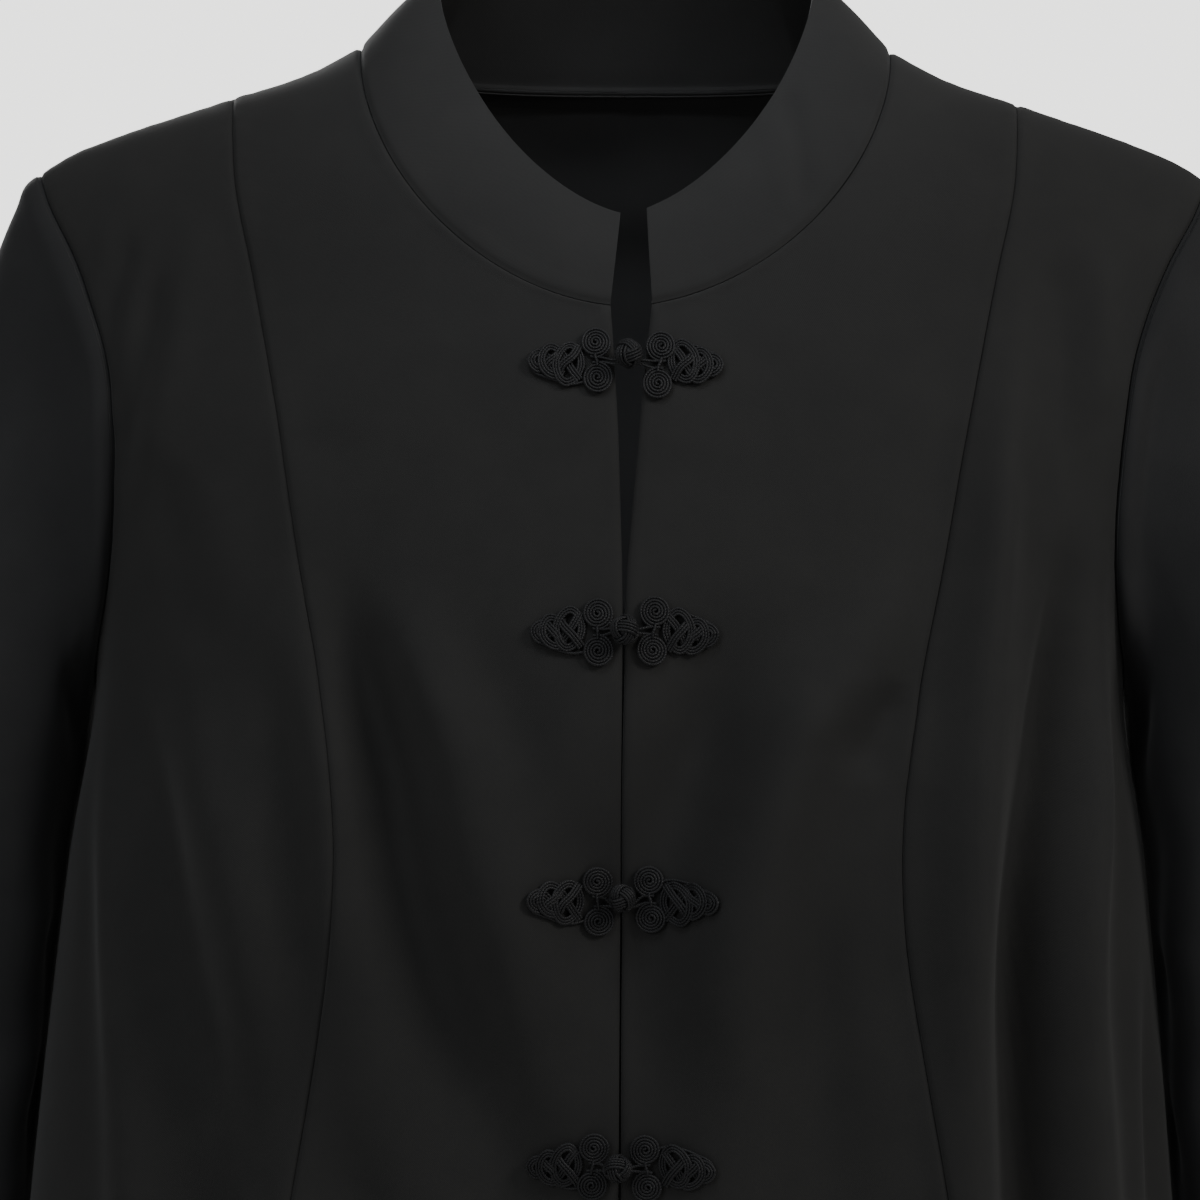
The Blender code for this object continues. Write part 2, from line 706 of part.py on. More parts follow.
def stem(side, start, end):
    """The cord from the leaf to the knot."""

    def build(shape):
        bmesh.ops.create_cone(
            shape, cap_ends=True, segments=8, radius1=STEM_RADIUS, radius2=STEM_RADIUS, depth=end - start
        )
        turn = Matrix.Rotation(math.pi / 2, 4, "Y")
        place = Matrix.Translation((FROG_CENTRE + side * (start + end) / 2, 0, FROG_LIFT + STEM_HEIGHT))
        bmesh.ops.transform(shape, matrix=place @ turn, verts=shape.verts)

    return build


def knot(shape):
    bmesh.ops.create_uvsphere(shape, u_segments=14, v_segments=9, radius=KNOT_RADIUS)
    bmesh.ops.translate(shape, vec=(FROG_CENTRE, 0, FROG_LIFT + KNOT_RADIUS), verts=shape.verts)


def add_frog(number, collection, helpers, parent, cord):
    """One frog: on each side a leaf, two coils and a stem as one cord, and the knot between them."""
    height = FROG_FIRST - FROG_PITCH * (number - 1)
    stretch = FIRST_FROG_STRETCH if number == 1 else 0.0
    for name, side in (("left", 1), ("right", -1)):
        label = f"frog_{number}_{name}"
        half = laid_object(label, leaf(side, LEAF_START + stretch), height, cord, collection, parent)
        across = FROG_CENTRE + side * (COIL_ACROSS + stretch)
        parts = (
            ("upper_coil", coil(across, COIL_APART)),
            ("lower_coil", coil(across, -COIL_APART)),
            ("stem", stem(side, KNOT_RADIUS + SEAM_GAP, LEAF_START + stretch + 2)),
        )
        for part, build in parts:
            helper = laid_object(f"{label}_{part}", build, height, cord, helpers, parent)
            helper.hide_render = True
            helper.display_type = "WIRE"
            join = half.modifiers.new(part, "BOOLEAN")
            join.operation = "UNION"
            join.solver = "EXACT"
            join.object = helper
    ball = laid_object(f"frog_{number}_knot", knot, height, cord, collection, parent)
    ball.data.shade_smooth()


def main():
    for old in list(bpy.data.objects):
        bpy.data.objects.remove(old)
    collection = bpy.data.collections.new("tang_jacket")
    helpers = bpy.data.collections.new("frog_helpers")
    for made in (collection, helpers):
        bpy.context.scene.collection.children.link(made)
    nape = body_point(1, 1, 0.0, -NECK_BACK_DROP)
    parent = bpy.data.objects.new("jacket", None)
    parent.location = Vector(nape) * -MM
    collection.objects.link(parent)
    cloth = material("jacket_cloth", JACKET, 0.85)
    cord = material("frog_cord", CORD, 0.7)
    add_body(collection, parent, cloth)
    add_sleeves(collection, parent, cloth)
    add_collar(collection, parent, cloth)
    for number in range(1, FROG_COUNT + 1):
        add_frog(number, collection, helpers, parent, cord)


main()
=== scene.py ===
import math

import bmesh
import bpy
import numpy as np
from mathutils import Matrix, Vector


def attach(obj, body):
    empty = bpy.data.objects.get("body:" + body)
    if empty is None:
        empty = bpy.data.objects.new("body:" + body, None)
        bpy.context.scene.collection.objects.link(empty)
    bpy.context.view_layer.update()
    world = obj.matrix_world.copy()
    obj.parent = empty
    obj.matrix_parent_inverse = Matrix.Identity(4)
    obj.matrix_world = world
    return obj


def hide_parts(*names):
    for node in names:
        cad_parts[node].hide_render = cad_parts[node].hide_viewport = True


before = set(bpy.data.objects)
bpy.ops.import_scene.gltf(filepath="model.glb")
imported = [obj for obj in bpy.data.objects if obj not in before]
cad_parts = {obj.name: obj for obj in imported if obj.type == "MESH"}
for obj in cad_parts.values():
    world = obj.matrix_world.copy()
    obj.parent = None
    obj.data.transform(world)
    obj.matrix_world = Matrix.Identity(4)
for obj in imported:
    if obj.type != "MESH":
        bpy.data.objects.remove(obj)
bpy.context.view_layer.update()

millimetre = 0.001

# the jacket's shape, in millimetres: heights are measured from the shoulder neck points, up being positive
# side 1 is the wearer's left and -1 the right; face -1 is the front and 1 the back
# at each height: half widths to the left and right, and depths to the front and back
shape = {
    "height": [30, 0, -43, -85, -125, -165, -205, -270, -330, -400, -480, -580],
    "left": [214, 214, 210, 197, 183, 172, 167, 175, 181, 187, 193, 199],
    "right": [214, 214, 211, 200, 187, 178, 174, 183, 190, 197, 204, 210],
    "front": [50, 52, 56, 62, 79, 95, 106, 114, 112, 111, 112, 115],
    "back": [52, 60, 69, 79, 87, 91, 92, 89, 86, 86, 91, 97],
    "squareness": 2.4,
    "hem": -580,
    "underarm": -205,
    "frontArch": 120,  # how far below the shoulder line the front reaches its full depth
    "backArch": 90,
}
shoulder = {
    "across": [88, 104, 129.5, 150, 171, 186, 194, 214],
    "height": [0, -8.3, -17, -23.7, -31, -37.5, -43, -60],
    "tip": -43,
}
neck = {
    "half": 88,
    "slope": 0.52,
    "frontDrop": 85,
    "backDrop": 12,
    "frontRound": 1.8,
    "backRound": 2.6,
}
princess = {
    "height": [-17, -46, -73, -126, -169, -206, -230, -255, -280, -318, -363, -430, -500, -580],
    "across": [130, 127.5, 121.5, 110.5, 103, 96, 92.3, 90.4, 90.9, 95.3, 102, 111, 119.5, 127.5],
}
armhole = {
    "height": [-43, -53, -69, -98, -124, -147, -180, -205],
    "front": [194, 190, 181.5, 171, 167, 166, 168.5, 174],
    "back": [194, 191, 184, 176, 171.5, 170, 170.5, 174],
    "waist": -147,
}
frontEdges = {
    "height": [-60, -85, -105, -120, -150, -172, -205, -400, -580],
    "left": [9.6, 9.0, 7.2, 5.9, 3.4, 1.8, 1.5, 1.4, 0.7],
    "right": [4.8, 4.4, 3.2, 2.2, 1.0, 0.3, 0.0, 0.0, 0.0],
}


def readColumn(table, name, at, key="height"):
    # a smooth curve through the table's rows
    order = np.argsort(table[key])
    places = np.array(table[key], float)[order]
    values = np.array(table[name], float)[order]
    slopes = np.gradient(values, places)
    k = np.clip(np.searchsorted(places, at) - 1, 0, len(places) - 2)
    step = places[k + 1] - places[k]
    t = np.clip((at - places[k]) / step, 0, 1)
    start = (1 - t) ** 2 * ((1 + 2 * t) * values[k] + t * step * slopes[k])
    end = t**2 * ((3 - 2 * t) * values[k + 1] - (1 - t) * step * slopes[k + 1])
    return start + end


def smooth(t):
    t = np.clip(t, 0, 1)
    return t * t * (3 - 2 * t)


def unit(v):
    return v / np.maximum(np.linalg.norm(v, axis=-1, keepdims=True), 1e-9)


def distances(points, axis=0):
    # how far each point is along its line, from the line's start
    steps = np.linalg.norm(np.diff(points, axis=axis), axis=-1)
    start = np.zeros_like(np.take(steps, [0], axis=axis))
    return np.concatenate([start, np.cumsum(steps, axis=axis)], axis=axis)


def ridgeHeight(across):
    inside = neck["slope"] * (neck["half"] ** 2 - across**2) / (2 * neck["half"])
    return np.where(across < neck["half"], inside, readColumn(shoulder, "height", across, "across"))


def halfWidth(side, height):
    return readColumn(shape, "left" if side > 0 else "right", height)


def aroundAt(side, across, height):
    share = np.clip(across / halfWidth(side, height), 0, 1)
    return np.arcsin(share ** (shape["squareness"] / 2)) / (math.pi / 2)


def acrossAt(side, around, height):
    return halfWidth(side, height) * np.sin(around * math.pi / 2) ** (2 / shape["squareness"])


def reachOf(face):
    return shape["frontArch"] if face < 0 else shape["backArch"]


def bodyPoints(side, face, around, height):
    # points on the smooth body, before any crease
    cosine = np.cos(around * math.pi / 2) ** (2 / shape["squareness"])
    across = acrossAt(side, around, height)
    depth = readColumn(shape, "front" if face < 0 else "back", height)
    below = np.clip(ridgeHeight(across) - height, 0, reachOf(face))
    arch = np.sqrt(np.clip(1 - (1 - below / reachOf(face)) ** 2, 0, 1))
    return np.stack([side * across, face * depth * cosine * arch, height + 0 * across], -1)


def arcBelow(height, across, reach):
    below = np.maximum(ridgeHeight(across) - height, 0.0)
    turn = np.arccos(np.clip(1 - below / reach, -1, 1))
    return np.where(below < reach, reach * turn, reach * math.pi / 2 + below - reach)


def heightAtArc(side, around, arc, reach):
    turn = np.minimum(arc / reach, math.pi / 2)
    below = reach * (1 - np.cos(turn)) + np.maximum(arc - reach * math.pi / 2, 0.0)
    height = -below
    for _ in range(6):
        height = ridgeHeight(acrossAt(side, around, height)) - below
    return height


# rows of the panels: 0 at the underarm and 1 at the shoulder
rows = {"below": 84, "above": 92, "neckFront": 5 / 13, "neckBack": 6 / 13}


def rowShares(corner):
    # rows above the underarm, with one row exactly at the neck's corner and close rows at the shoulder
    first = int(rows["above"] * corner)
    last = rows["above"] - first
    upper = corner + (1 - corner) * np.linspace(0, 1, last + 1) ** 0.97
    fine = np.array([0.9935, 0.9965, 0.9985])
    upper = np.sort(np.concatenate([upper[upper < 0.991], fine, [1.0]]))
    return np.concatenate([np.linspace(0, corner, first + 1)[1:], upper[1:]])


frontShares = rowShares(rows["neckFront"])
backShares = rowShares(rows["neckBack"])
lowHeights = np.concatenate([
    shape["hem"] + np.array([0, 0.8, 1.8, 3.0]),
    np.linspace(shape["hem"] + 6, shape["underarm"], rows["below"] - 3),
])

# the first row above the neck's corner, for the front and the back
neckRows = {
    -1: len(lowHeights) + int(np.searchsorted(frontShares, rows["neckFront"] - 1e-9)) + 1,
    1: len(lowHeights) + int(np.searchsorted(backShares, rows["neckBack"] - 1e-9)) + 1,
}


def seamByArc(side, table, face, shares):
    reach = reachOf(face)
    start = arcBelow(shape["underarm"], readColumn(table, "across", shape["underarm"]), reach)
    arc = start * (1 - shares)
    height = np.full(len(shares), float(max(table["height"])))
    for _ in range(14):
        across = readColumn(table, "across", height)
        height = heightAtArc(side, aroundAt(side, across, height), arc, reach)
    heights = np.concatenate([lowHeights, height])
    return aroundAt(side, readColumn(table, "across", heights), heights), heights


def centreLine(side, edge, drop, power, shares, corner):
    start = float(edge(-drop))
    top = -drop * (1 - (max(start, 0) / neck["half"]) ** power) ** (1 / power)
    low = shares[shares <= corner + 1e-9] / corner
    lowest = shape["underarm"] + (top - shape["underarm"]) * low
    first = math.asin((max(start, 0) / neck["half"]) ** (power / 2))
    t = (shares[shares > corner + 1e-9] - corner) / (1 - corner)
    turn = first + (math.pi / 2 - first) * t
    across = neck["half"] * np.sin(turn) ** (2 / power)
    height = -drop * np.maximum(np.cos(turn), 0) ** (2 / power)
    heights = np.concatenate([lowHeights, lowest, height])
    xs = np.concatenate([edge(np.concatenate([lowHeights, lowest])), across])
    return aroundAt(side, np.maximum(xs, 0), heights), heights


def frontCentreLine(side):
    name = "left" if side > 0 else "right"
    return centreLine(side, lambda h: readColumn(frontEdges, name, h), neck["frontDrop"], neck["frontRound"],
                      frontShares, rows["neckFront"])


def backCentreLine(side):
    return centreLine(side, lambda h: 0.0 * h, neck["backDrop"], neck["backRound"],
                      backShares, rows["neckBack"])


def armholeHeight(turn):
    low, waist, top = shape["underarm"], armhole["waist"], shoulder["tip"]
    return waist - np.where(turn < math.pi / 2, waist - low, top - waist) * np.cos(turn)


def sideLine(side, face, shares):
    height = armholeHeight(math.pi * shares)
    across = readColumn(armhole, "front" if face < 0 else "back", height)
    across = across * halfWidth(side, height) / halfWidth(-1, height)
    around = np.concatenate([np.ones(len(lowHeights)), aroundAt(side, across, height)])
    return around, np.concatenate([lowHeights, height])


# creases: path of (across, height) in millimetres, width, and depth, negative for a trough
creases = {
    "front": [
        # centre front, wearer's right: a long trough from the bust seam towards the centre, with its ridge
        ([(-98, -145), (-89, -182), (-80, -210), (-72, -235), (-68, -260), (-60, -285), (-50, -310),
          (-41, -334), (-33, -358), (-28, -420), (-26, -520)], 11, -3.4),
        ([(-78, -165), (-70, -188), (-61, -212), (-53, -236), (-50, -260), (-42, -285), (-32, -310),
          (-23, -336), (-16, -370), (-12, -440)], 9.5, 1.9),
        ([(-86, -330), (-82, -400), (-80, -500), (-82, -580)], 11, -1.6),
        ([(-56, -380), (-52, -450), (-50, -560)], 11, 1.4),
        # centre front, wearer's left: a slanting ridge from the waist, falling away towards the opening
        ([(92, -166), (78, -188), (62, -211), (52, -236), (43, -260), (35, -285), (29, -310), (27, -336),
          (30, -380), (32, -450)], 11, 2.4),
        ([(30, -160), (27, -195), (22, -232), (14, -260), (8, -285), (8, -310), (12, -336), (16, -400),
          (16, -480)], 11, -3.0),
        ([(90, -204), (84, -214), (74, -232)], 6, -1.0),
        ([(70, -262), (62, -310), (60, -370), (62, -480)], 10, -1.2),
        ([(90, -300), (87, -370), (88, -460)], 9, 1.0),
        # side front, wearer's right: a trough and a ridge from under the arm
        ([(-160, -190), (-156, -222), (-152, -245), (-148, -262), (-143, -287), (-137, -312), (-131, -336),
          (-127, -400), (-127, -520)], 13, -2.2),
        ([(-140, -180), (-135, -215), (-131, -240), (-127, -262), (-122, -287), (-116, -312), (-111, -338),
          (-108, -400), (-110, -520)], 13, 1.2),
        ([(-110, -190), (-106, -240), (-104, -300), (-106, -380)], 7, -1.0),
        ([(-168, -230), (-163, -300), (-158, -360), (-158, -560)], 9, 1.2),
        # side front, wearer's left: a ridge beside the bust seam, a trough, and a ridge at the side
        ([(124, -70), (123, -120), (119, -158), (116, -186), (113, -212), (111, -238), (110, -285),
          (111, -334), (113, -400), (117, -520)], 10, 3.3),
        ([(147, -130), (143, -175), (140, -205), (137, -235), (134, -260), (131, -285), (130, -310),
          (131, -336), (134, -400), (137, -540)], 11.5, -3.7),
        ([(158, -168), (156, -200), (154, -230), (152, -258), (150, -285), (150, -312), (152, -340),
          (156, -420), (158, -540)], 12, 1.9),
        ([(172, -290), (176, -350), (180, -450), (182, -560)], 8, -1.3),
        # pulls at the armholes and by the neck
        ([(-160, -58), (-166, -80), (-169, -104), (-167, -124)], 4.5, -0.55),
        ([(-150, -74), (-156, -100), (-162, -126), (-164, -146)], 6, -0.6),
        ([(-138, -52), (-142, -80), (-150, -118), (-156, -150)], 8, 0.5),
        ([(-150, -130), (-143, -165), (-134, -205)], 9, -0.5),
        ([(140, -56), (142, -90), (146, -128), (150, -160)], 7, -0.6),
        ([(158, -66), (157, -96), (156, -124)], 6, 0.4),
        ([(92, -4), (97, -11), (103, -19)], 3.5, -0.45),
        ([(-112, -120), (-100, -158), (-94, -200)], 8, 0.4),
        ([(-60, -96), (-44, -120), (-30, -150)], 12, -0.4),
        ([(58, -92), (40, -118), (26, -150)], 12, -0.4),
    ],
    "back": [
        ([(-150, -120), (-132, -165), (-104, -214), (-84, -270), (-76, -350)], 12, -2.8),
        ([(148, -128), (126, -172), (100, -222), (86, -290), (80, -380)], 12, -3.0),
        ([(-126, -120), (-104, -165), (-80, -214), (-62, -270)], 12, 1.5),
        ([(124, -124), (100, -170), (76, -222), (64, -280)], 12, 1.4),
        ([(-140, -230), (-128, -300), (-124, -400), (-126, -580)], 10, 1.9),
        ([(-104, -300), (-98, -390), (-96, -500), (-98, -580)], 11, -2.3),
        ([(-40, -280), (-34, -380), (-36, -480), (-38, -580)], 14, 1.8),
        ([(22, -250), (26, -340), (30, -450), (34, -580)], 14, -2.0),
        ([(66, -320), (64, -420), (68, -580)], 12, 1.8),
        ([(138, -220), (132, -310), (130, -420), (134, -580)], 10, 1.9),
        ([(160, -250), (158, -340), (162, -480)], 9, -1.8),
        ([(-162, -240), (-160, -330), (-166, -470)], 9, -1.7),
        ([(-60, -40), (-30, -50), (30, -50), (58, -42)], 10, -0.7),
        ([(-166, -80), (-158, -110), (-150, -140)], 6, -0.8),
        ([(164, -84), (157, -112), (148, -146)], 6, -0.8),
    ],
}
quarter = 205.0  # cloth from a centre line round to the side, in millimetres


def throughPoints(points, count):
    # a smooth path through a few points
    points = np.array(points, float)
    marks = distances(points)
    at = np.linspace(0, marks[-1], count)
    return np.stack([readColumn({"at": marks, "value": column}, "value", at, "at") for column in points.T], -1)


def softPath(points, count=28):
    # a crease's path, and how far along it each point is
    return throughPoints(points, count), np.linspace(0, 1, count)


# a crease widens along its length, fades at both ends, and has a low shoulder on either side
creaseForm = {"startWide": 0.75, "widen": 0.5, "fadeIn": 0.22, "fadeOut": 0.25, "shoulder": 0.28,
              "shoulderAt": 2.1, "shoulderWide": 0.9}


def creaseHeight(u, z, path, along, width, depth):
    # how far one crease moves the cloth, in or out
    total = np.zeros(u.shape)
    near = (u > path[:, 0].min() - 4 * width) & (u < path[:, 0].max() + 4 * width)
    near &= (z > path[:, 1].min() - 4 * width) & (z < path[:, 1].max() + 4 * width)
    if not near.any():
        return total
    p = np.stack([u[near], z[near]], -1)
    best = np.full(len(p), 1e9)
    place = np.zeros(len(p))
    for k in range(len(path) - 1):
        a, b = path[k], path[k + 1]
        t = np.clip(((p - a) @ (b - a)) / ((b - a) @ (b - a)), 0, 1)
        far = np.linalg.norm(p - (a + t[:, None] * (b - a)), axis=1)
        closer = far < best
        best = np.where(closer, far, best)
        place = np.where(closer, along[k] + (along[k + 1] - along[k]) * t, place)
    w = width * (creaseForm["startWide"] + creaseForm["widen"] * place)
    fade = smooth(place / creaseForm["fadeIn"]) * smooth((1 - place) / creaseForm["fadeOut"])
    aside = (best - creaseForm["shoulderAt"] * w) / (creaseForm["shoulderWide"] * w)
    profile = np.exp(-((best / w) ** 2)) - creaseForm["shoulder"] * np.exp(-(aside**2))
    total[near] = depth * fade * profile
    return total


def girthOf(face, side, around, own):
    # distance round from the centre of the face a crease is drawn on
    return side * quarter * (around if face == own else 2 - around)


creasePaths = []
for own, faceName in ((-1, "front"), (1, "back")):
    for points, width, depth in creases[faceName]:
        path, along = softPath(points)
        sides = np.where(path[:, 0] < 0, -1, 1)
        girth = [s * quarter * float(aroundAt(s, abs(x), z)) for s, (x, z) in zip(sides, path, strict=True)]
        creasePaths.append((own, np.stack([girth, path[:, 1]], 1), along, width, depth))

draw = np.random.default_rng(31).uniform
ripples = [(draw(0.02, 0.07), draw(0.012, 0.05), draw(0, 6.28)) for _ in range(9)]
relief = {
    "creases": 2.8,
    "sleeves": 1.6,
    "ripples": 0.14,
    "sleeveRipples": 0.10,
    "hang": 1.0,
    "hangFrom": 330,
    "hangOver": 250,
    "seamCalm": 26,
    "sideCalm": 0.88,  # the sides lie against the sleeves
    "sideFrom": 0.84,
    "sideOver": 0.13,
}


def bodyCrease(side, face, around, height):
    total = np.zeros(np.broadcast(around, height).shape)
    around, height = np.broadcast_arrays(around, height)
    for own, path, along, width, depth in creasePaths:
        total += creaseHeight(girthOf(face, side, around, own), height, path, along, width, depth)
    total *= relief["creases"]
    u = girthOf(face, side, around, -1)
    across = side * acrossAt(side, around, height)
    for wide, tall, start in ripples:
        total += relief["ripples"] * np.sin(across * wide + start) * np.sin(height * tall + start * 2.3 + face)
    whole = 2 * math.pi / (4 * quarter)  # the waves meet all round the hem
    hang = smooth((-height - relief["hangFrom"]) / relief["hangOver"])
    total += relief["hang"] * hang * (np.sin(u * whole * 5 + 0.6) + 0.6 * np.sin(u * whole * 11 + 2.2))
    calm = smooth((ridgeHeight(acrossAt(side, around, height)) - height) / relief["seamCalm"])
    beside = 1 - relief["sideCalm"] * smooth((around - relief["sideFrom"]) / relief["sideOver"])
    return total * calm * beside


def gridNormals(grid, outward):
    down = np.gradient(grid, axis=0)
    across = np.gradient(grid, axis=1)
    normal = unit(np.cross(across, down))
    return normal if (normal * outward).sum() > 0 else -normal


def outwardOf(grid):
    out = grid * [1, 1, 0]
    return unit(out + [0, 1e-6, 0])


# seams: the gap, how far the edge rolls in, and the turnings inside
seams = {
    "gap": 0.08,
    "roll": 0.65,
    "rollWidth": 1.5,
    "pucker": 0.15,
    "puckerReach": 5.5,
    "puckerWaves": (0.33, 0.51, 0.78, 1.07),
    "swell": 0.14,
    "swellAt": 3.6,
    "swellWide": 2.4,
    "allowance": [0.9, 2.2, 4.0],
    "neckAllowance": [0.5, 1.0, 1.5],
    "collarAllowance": [0.2, 0.4, 0.6],
}


def rollEdges(grid, normal, edges, seed):
    # turns the cloth in along each seam, and puckers it a little beside the stitching
    grid = grid.copy()
    wobble = np.random.default_rng(seed).uniform(0, 6.28, 12)
    for edge, span in edges:
        lines = {"first": grid, "last": grid[:, ::-1], "top": grid[::-1].swapaxes(0, 1)}[edge]
        normals = {"first": normal, "last": normal[:, ::-1], "top": normal[::-1].swapaxes(0, 1)}[edge]
        far = distances(lines, 1)
        inward = unit(lines[:, 1] - lines[:, 0])
        length = distances(lines[:, 0])
        mask = np.zeros(len(lines))
        mask[span] = 1.0
        roll = -seams["roll"] * (1 - smooth(far / seams["rollWidth"]))
        waves = sum(np.sin(length * f + w) for f, w in zip(seams["puckerWaves"], wobble, strict=False)) / 4
        pucker = seams["pucker"] * waves[:, None] * np.exp(-far / seams["puckerReach"]) * smooth(far / 1.2)
        swell = seams["swell"] * np.exp(-(((far - seams["swellAt"]) / seams["swellWide"]) ** 2))
        lines += normals * ((roll + pucker + swell) * mask[:, None])[:, :, None]
        lines[:, 0] += inward * (seams["gap"] * mask)[:, None]
    return grid


def addAllowance(grid, normal, first="allowance", last=True, top=True, facing=None):
    # turns the cut edges inside, or back behind the front edge for the rows of a facing, up to its corner
    if first:
        inside = [grid[:, 0] - normal[:, 0] * d for d in seams[first]]
        if facing:
            folds, corner = facing
            while len(inside) < len(folds):
                inside.append(inside[-1] - normal[:, 0] * 0.1)
            along = unit(grid[:, 2] - grid[:, 0])
            blend = smooth((np.arange(len(grid)) - corner + 4) / 4)[:, None]
            columnsAt = distances(grid, 1).mean(axis=0)
            for k, (back, deep) in enumerate(folds):
                near = int(np.searchsorted(columnsAt, back)) if back > 0 else 0
                folded = grid[:, near] + along * min(back, 0) - normal[:, near] * deep
                inside[k] = folded + (inside[k] - folded) * blend
        columns = np.stack(inside[::-1], 1)
        grid = np.concatenate([columns, grid], axis=1)
        normal = np.concatenate([np.repeat(normal[:, :1], columns.shape[1], axis=1), normal], axis=1)
    if last:
        columns = np.stack([grid[:, -1] - normal[:, -1] * d for d in seams["allowance"]], 1)
        grid = np.concatenate([grid, columns], axis=1)
        normal = np.concatenate([normal, np.repeat(normal[:, -1:], columns.shape[1], axis=1)], axis=1)
    if top:
        extra = np.stack([grid[-1] - normal[-1] * d for d in seams["allowance"]], 0)
        grid = np.concatenate([grid, extra], axis=0)
        normal = np.concatenate([normal, np.repeat(normal[-1:], len(extra), axis=0)], axis=0)
    return grid, normal


def columnShares(count, width):
    # columns across a panel, close together beside each seam
    fine = np.array([0, 0.5, 1.1, 1.8, 2.7, 3.8]) / width
    return np.concatenate([fine, np.linspace(fine[-1], 1 - fine[-1], count)[1:], 1 - fine[:-1][::-1]])


def strip(side, face, inner, outer, shares, aboveShares):
    # the smooth surface between two seam lines
    reach = reachOf(face)
    aroundIn, heightIn = inner[0][:, None], inner[1][:, None]
    aroundOut, heightOut = outer[0][:, None], outer[1][:, None]
    arcIn = arcBelow(heightIn, acrossAt(side, aroundIn, heightIn), reach)
    arcOut = arcBelow(heightOut, acrossAt(side, aroundOut, heightOut), reach)
    around = aroundIn + (aroundOut - aroundIn) * shares
    level = heightIn + (heightOut - heightIn) * shares
    arched = heightAtArc(side, around, arcIn + (arcOut - arcIn) * shares, reach)
    weight = smooth(np.concatenate([np.zeros(len(lowHeights)), aboveShares]))[:, None]
    height = level + (arched - level) * weight
    height[:, 0], height[:, -1] = heightIn[:, 0], heightOut[:, 0]
    grid = bodyPoints(side, face, around, height)
    grid[-1, :, 1] = 0.0
    return grid, around, height


def creased(side, face, grid, around, height):
    normal = gridNormals(grid, outwardOf(grid))
    grid = grid + normal * bodyCrease(side, face, around, height)[:, :, None]
    return grid, gridNormals(grid, outwardOf(grid))


# hems and cuffs: the cloth turns under and runs up inside
hems = {"deep": 20.0, "fold": 1.7, "steps": 7}


def turnUnder(grid, normal):
    # adds rows that go round the fold at the grid's first row and back along its inside
    count = int(np.searchsorted(distances(grid).mean(axis=1), hems["deep"]))
    radius = hems["fold"] / 2
    away = unit(grid[0] - grid[2])
    rowsUnder = [grid[k] - normal[k] * hems["fold"] for k in range(count, 0, -1)]
    for turn in np.linspace(math.pi, 0, hems["steps"])[:-1]:
        out = -radius + radius * math.cos(turn)
        rowsUnder.append(grid[0] + normal[0] * out + away * radius * math.sin(turn))
    return np.concatenate([np.array(rowsUnder), grid], axis=0)


nape = bodyPoints(1, 1, np.array(0.0), np.array(-float(neck["backDrop"])))
cloth = {"wall": 0.75}


def toWorld(points):
    return (np.asarray(points) - nape) * millimetre


def gridMesh(name, grid, closed=False, facing=None):
    # an open sheet with a UV map in metres along its threads
    grid = np.asarray(grid)
    rowCount, columnCount = grid.shape[:2]
    around = columnCount if closed else columnCount - 1
    j, i = np.meshgrid(np.arange(rowCount - 1), np.arange(around), indexing="ij")
    k = (i + 1) % columnCount
    here, above = j * columnCount, (j + 1) * columnCount
    quads = np.stack([here + i, here + k, above + k, above + i], -1).reshape(-1, 4)
    flat = toWorld(grid).reshape(-1, 3)
    a, b, c = flat[quads[:, 0]], flat[quads[:, 1]], flat[quads[:, 3]]
    normal = np.cross(b - a, c - a)
    out = facing(a) if facing else a * [1, 1, 0] - toWorld(np.zeros(3)) * [1, 1, 0]
    if (normal * out).sum() < 0:
        quads = quads[:, ::-1]
    mesh = bpy.data.meshes.new(name)
    mesh.from_pydata(flat.tolist(), [], quads.tolist())
    down, right = distances(grid), distances(grid, 1)
    right = right - right.mean(axis=1, keepdims=True)
    uv = np.stack([right.mean(axis=0)[None, :] + 0 * right, down], -1).reshape(-1, 2) * millimetre
    loops = np.zeros(len(mesh.loops), np.int32)
    mesh.loops.foreach_get("vertex_index", loops)
    layer = mesh.uv_layers.new(name="threads")
    layer.data.foreach_set("uv", uv[loops].astype(np.float32).ravel())
    mesh.shade_smooth()
    return mesh


def linkObject(name, mesh, material):
    made = bpy.data.objects.new(name, mesh)
    bpy.context.scene.collection.objects.link(made)
    mesh.materials.clear()
    mesh.materials.append(material)
    return made


def applied(made):
    # the object with its modifiers made into plain mesh
    bpy.context.view_layer.update()
    graph = bpy.context.evaluated_depsgraph_get()
    mesh = bpy.data.meshes.new_from_object(made.evaluated_get(graph), depsgraph=graph)
    mesh.name = made.name
    made.modifiers.clear()
    if made.type == "MESH":
        made.data = mesh
        return made
    name, collection = made.name, made.users_collection[0]
    bpy.data.objects.remove(made)
    done = bpy.data.objects.new(name, mesh)
    collection.objects.link(done)
    return done


def joinInto(made, others):
    with bpy.context.temp_override(active_object=made, selected_editable_objects=[made, *others]):
        bpy.ops.object.join()
    return made


def thicken(made, wall, rim=0.0):
    solid = made.modifiers.new("wall", "SOLIDIFY")
    solid.thickness = wall * millimetre
    solid.offset = -1
    solid.use_even_offset = False
    solid.use_quality_normals = True
    if rim:
        bevel = made.modifiers.new("rim", "BEVEL")
        bevel.width = rim * millimetre
        bevel.segments = 3
        bevel.limit_method = "ANGLE"
        bevel.angle_limit = math.radians(60)
    return applied(made)


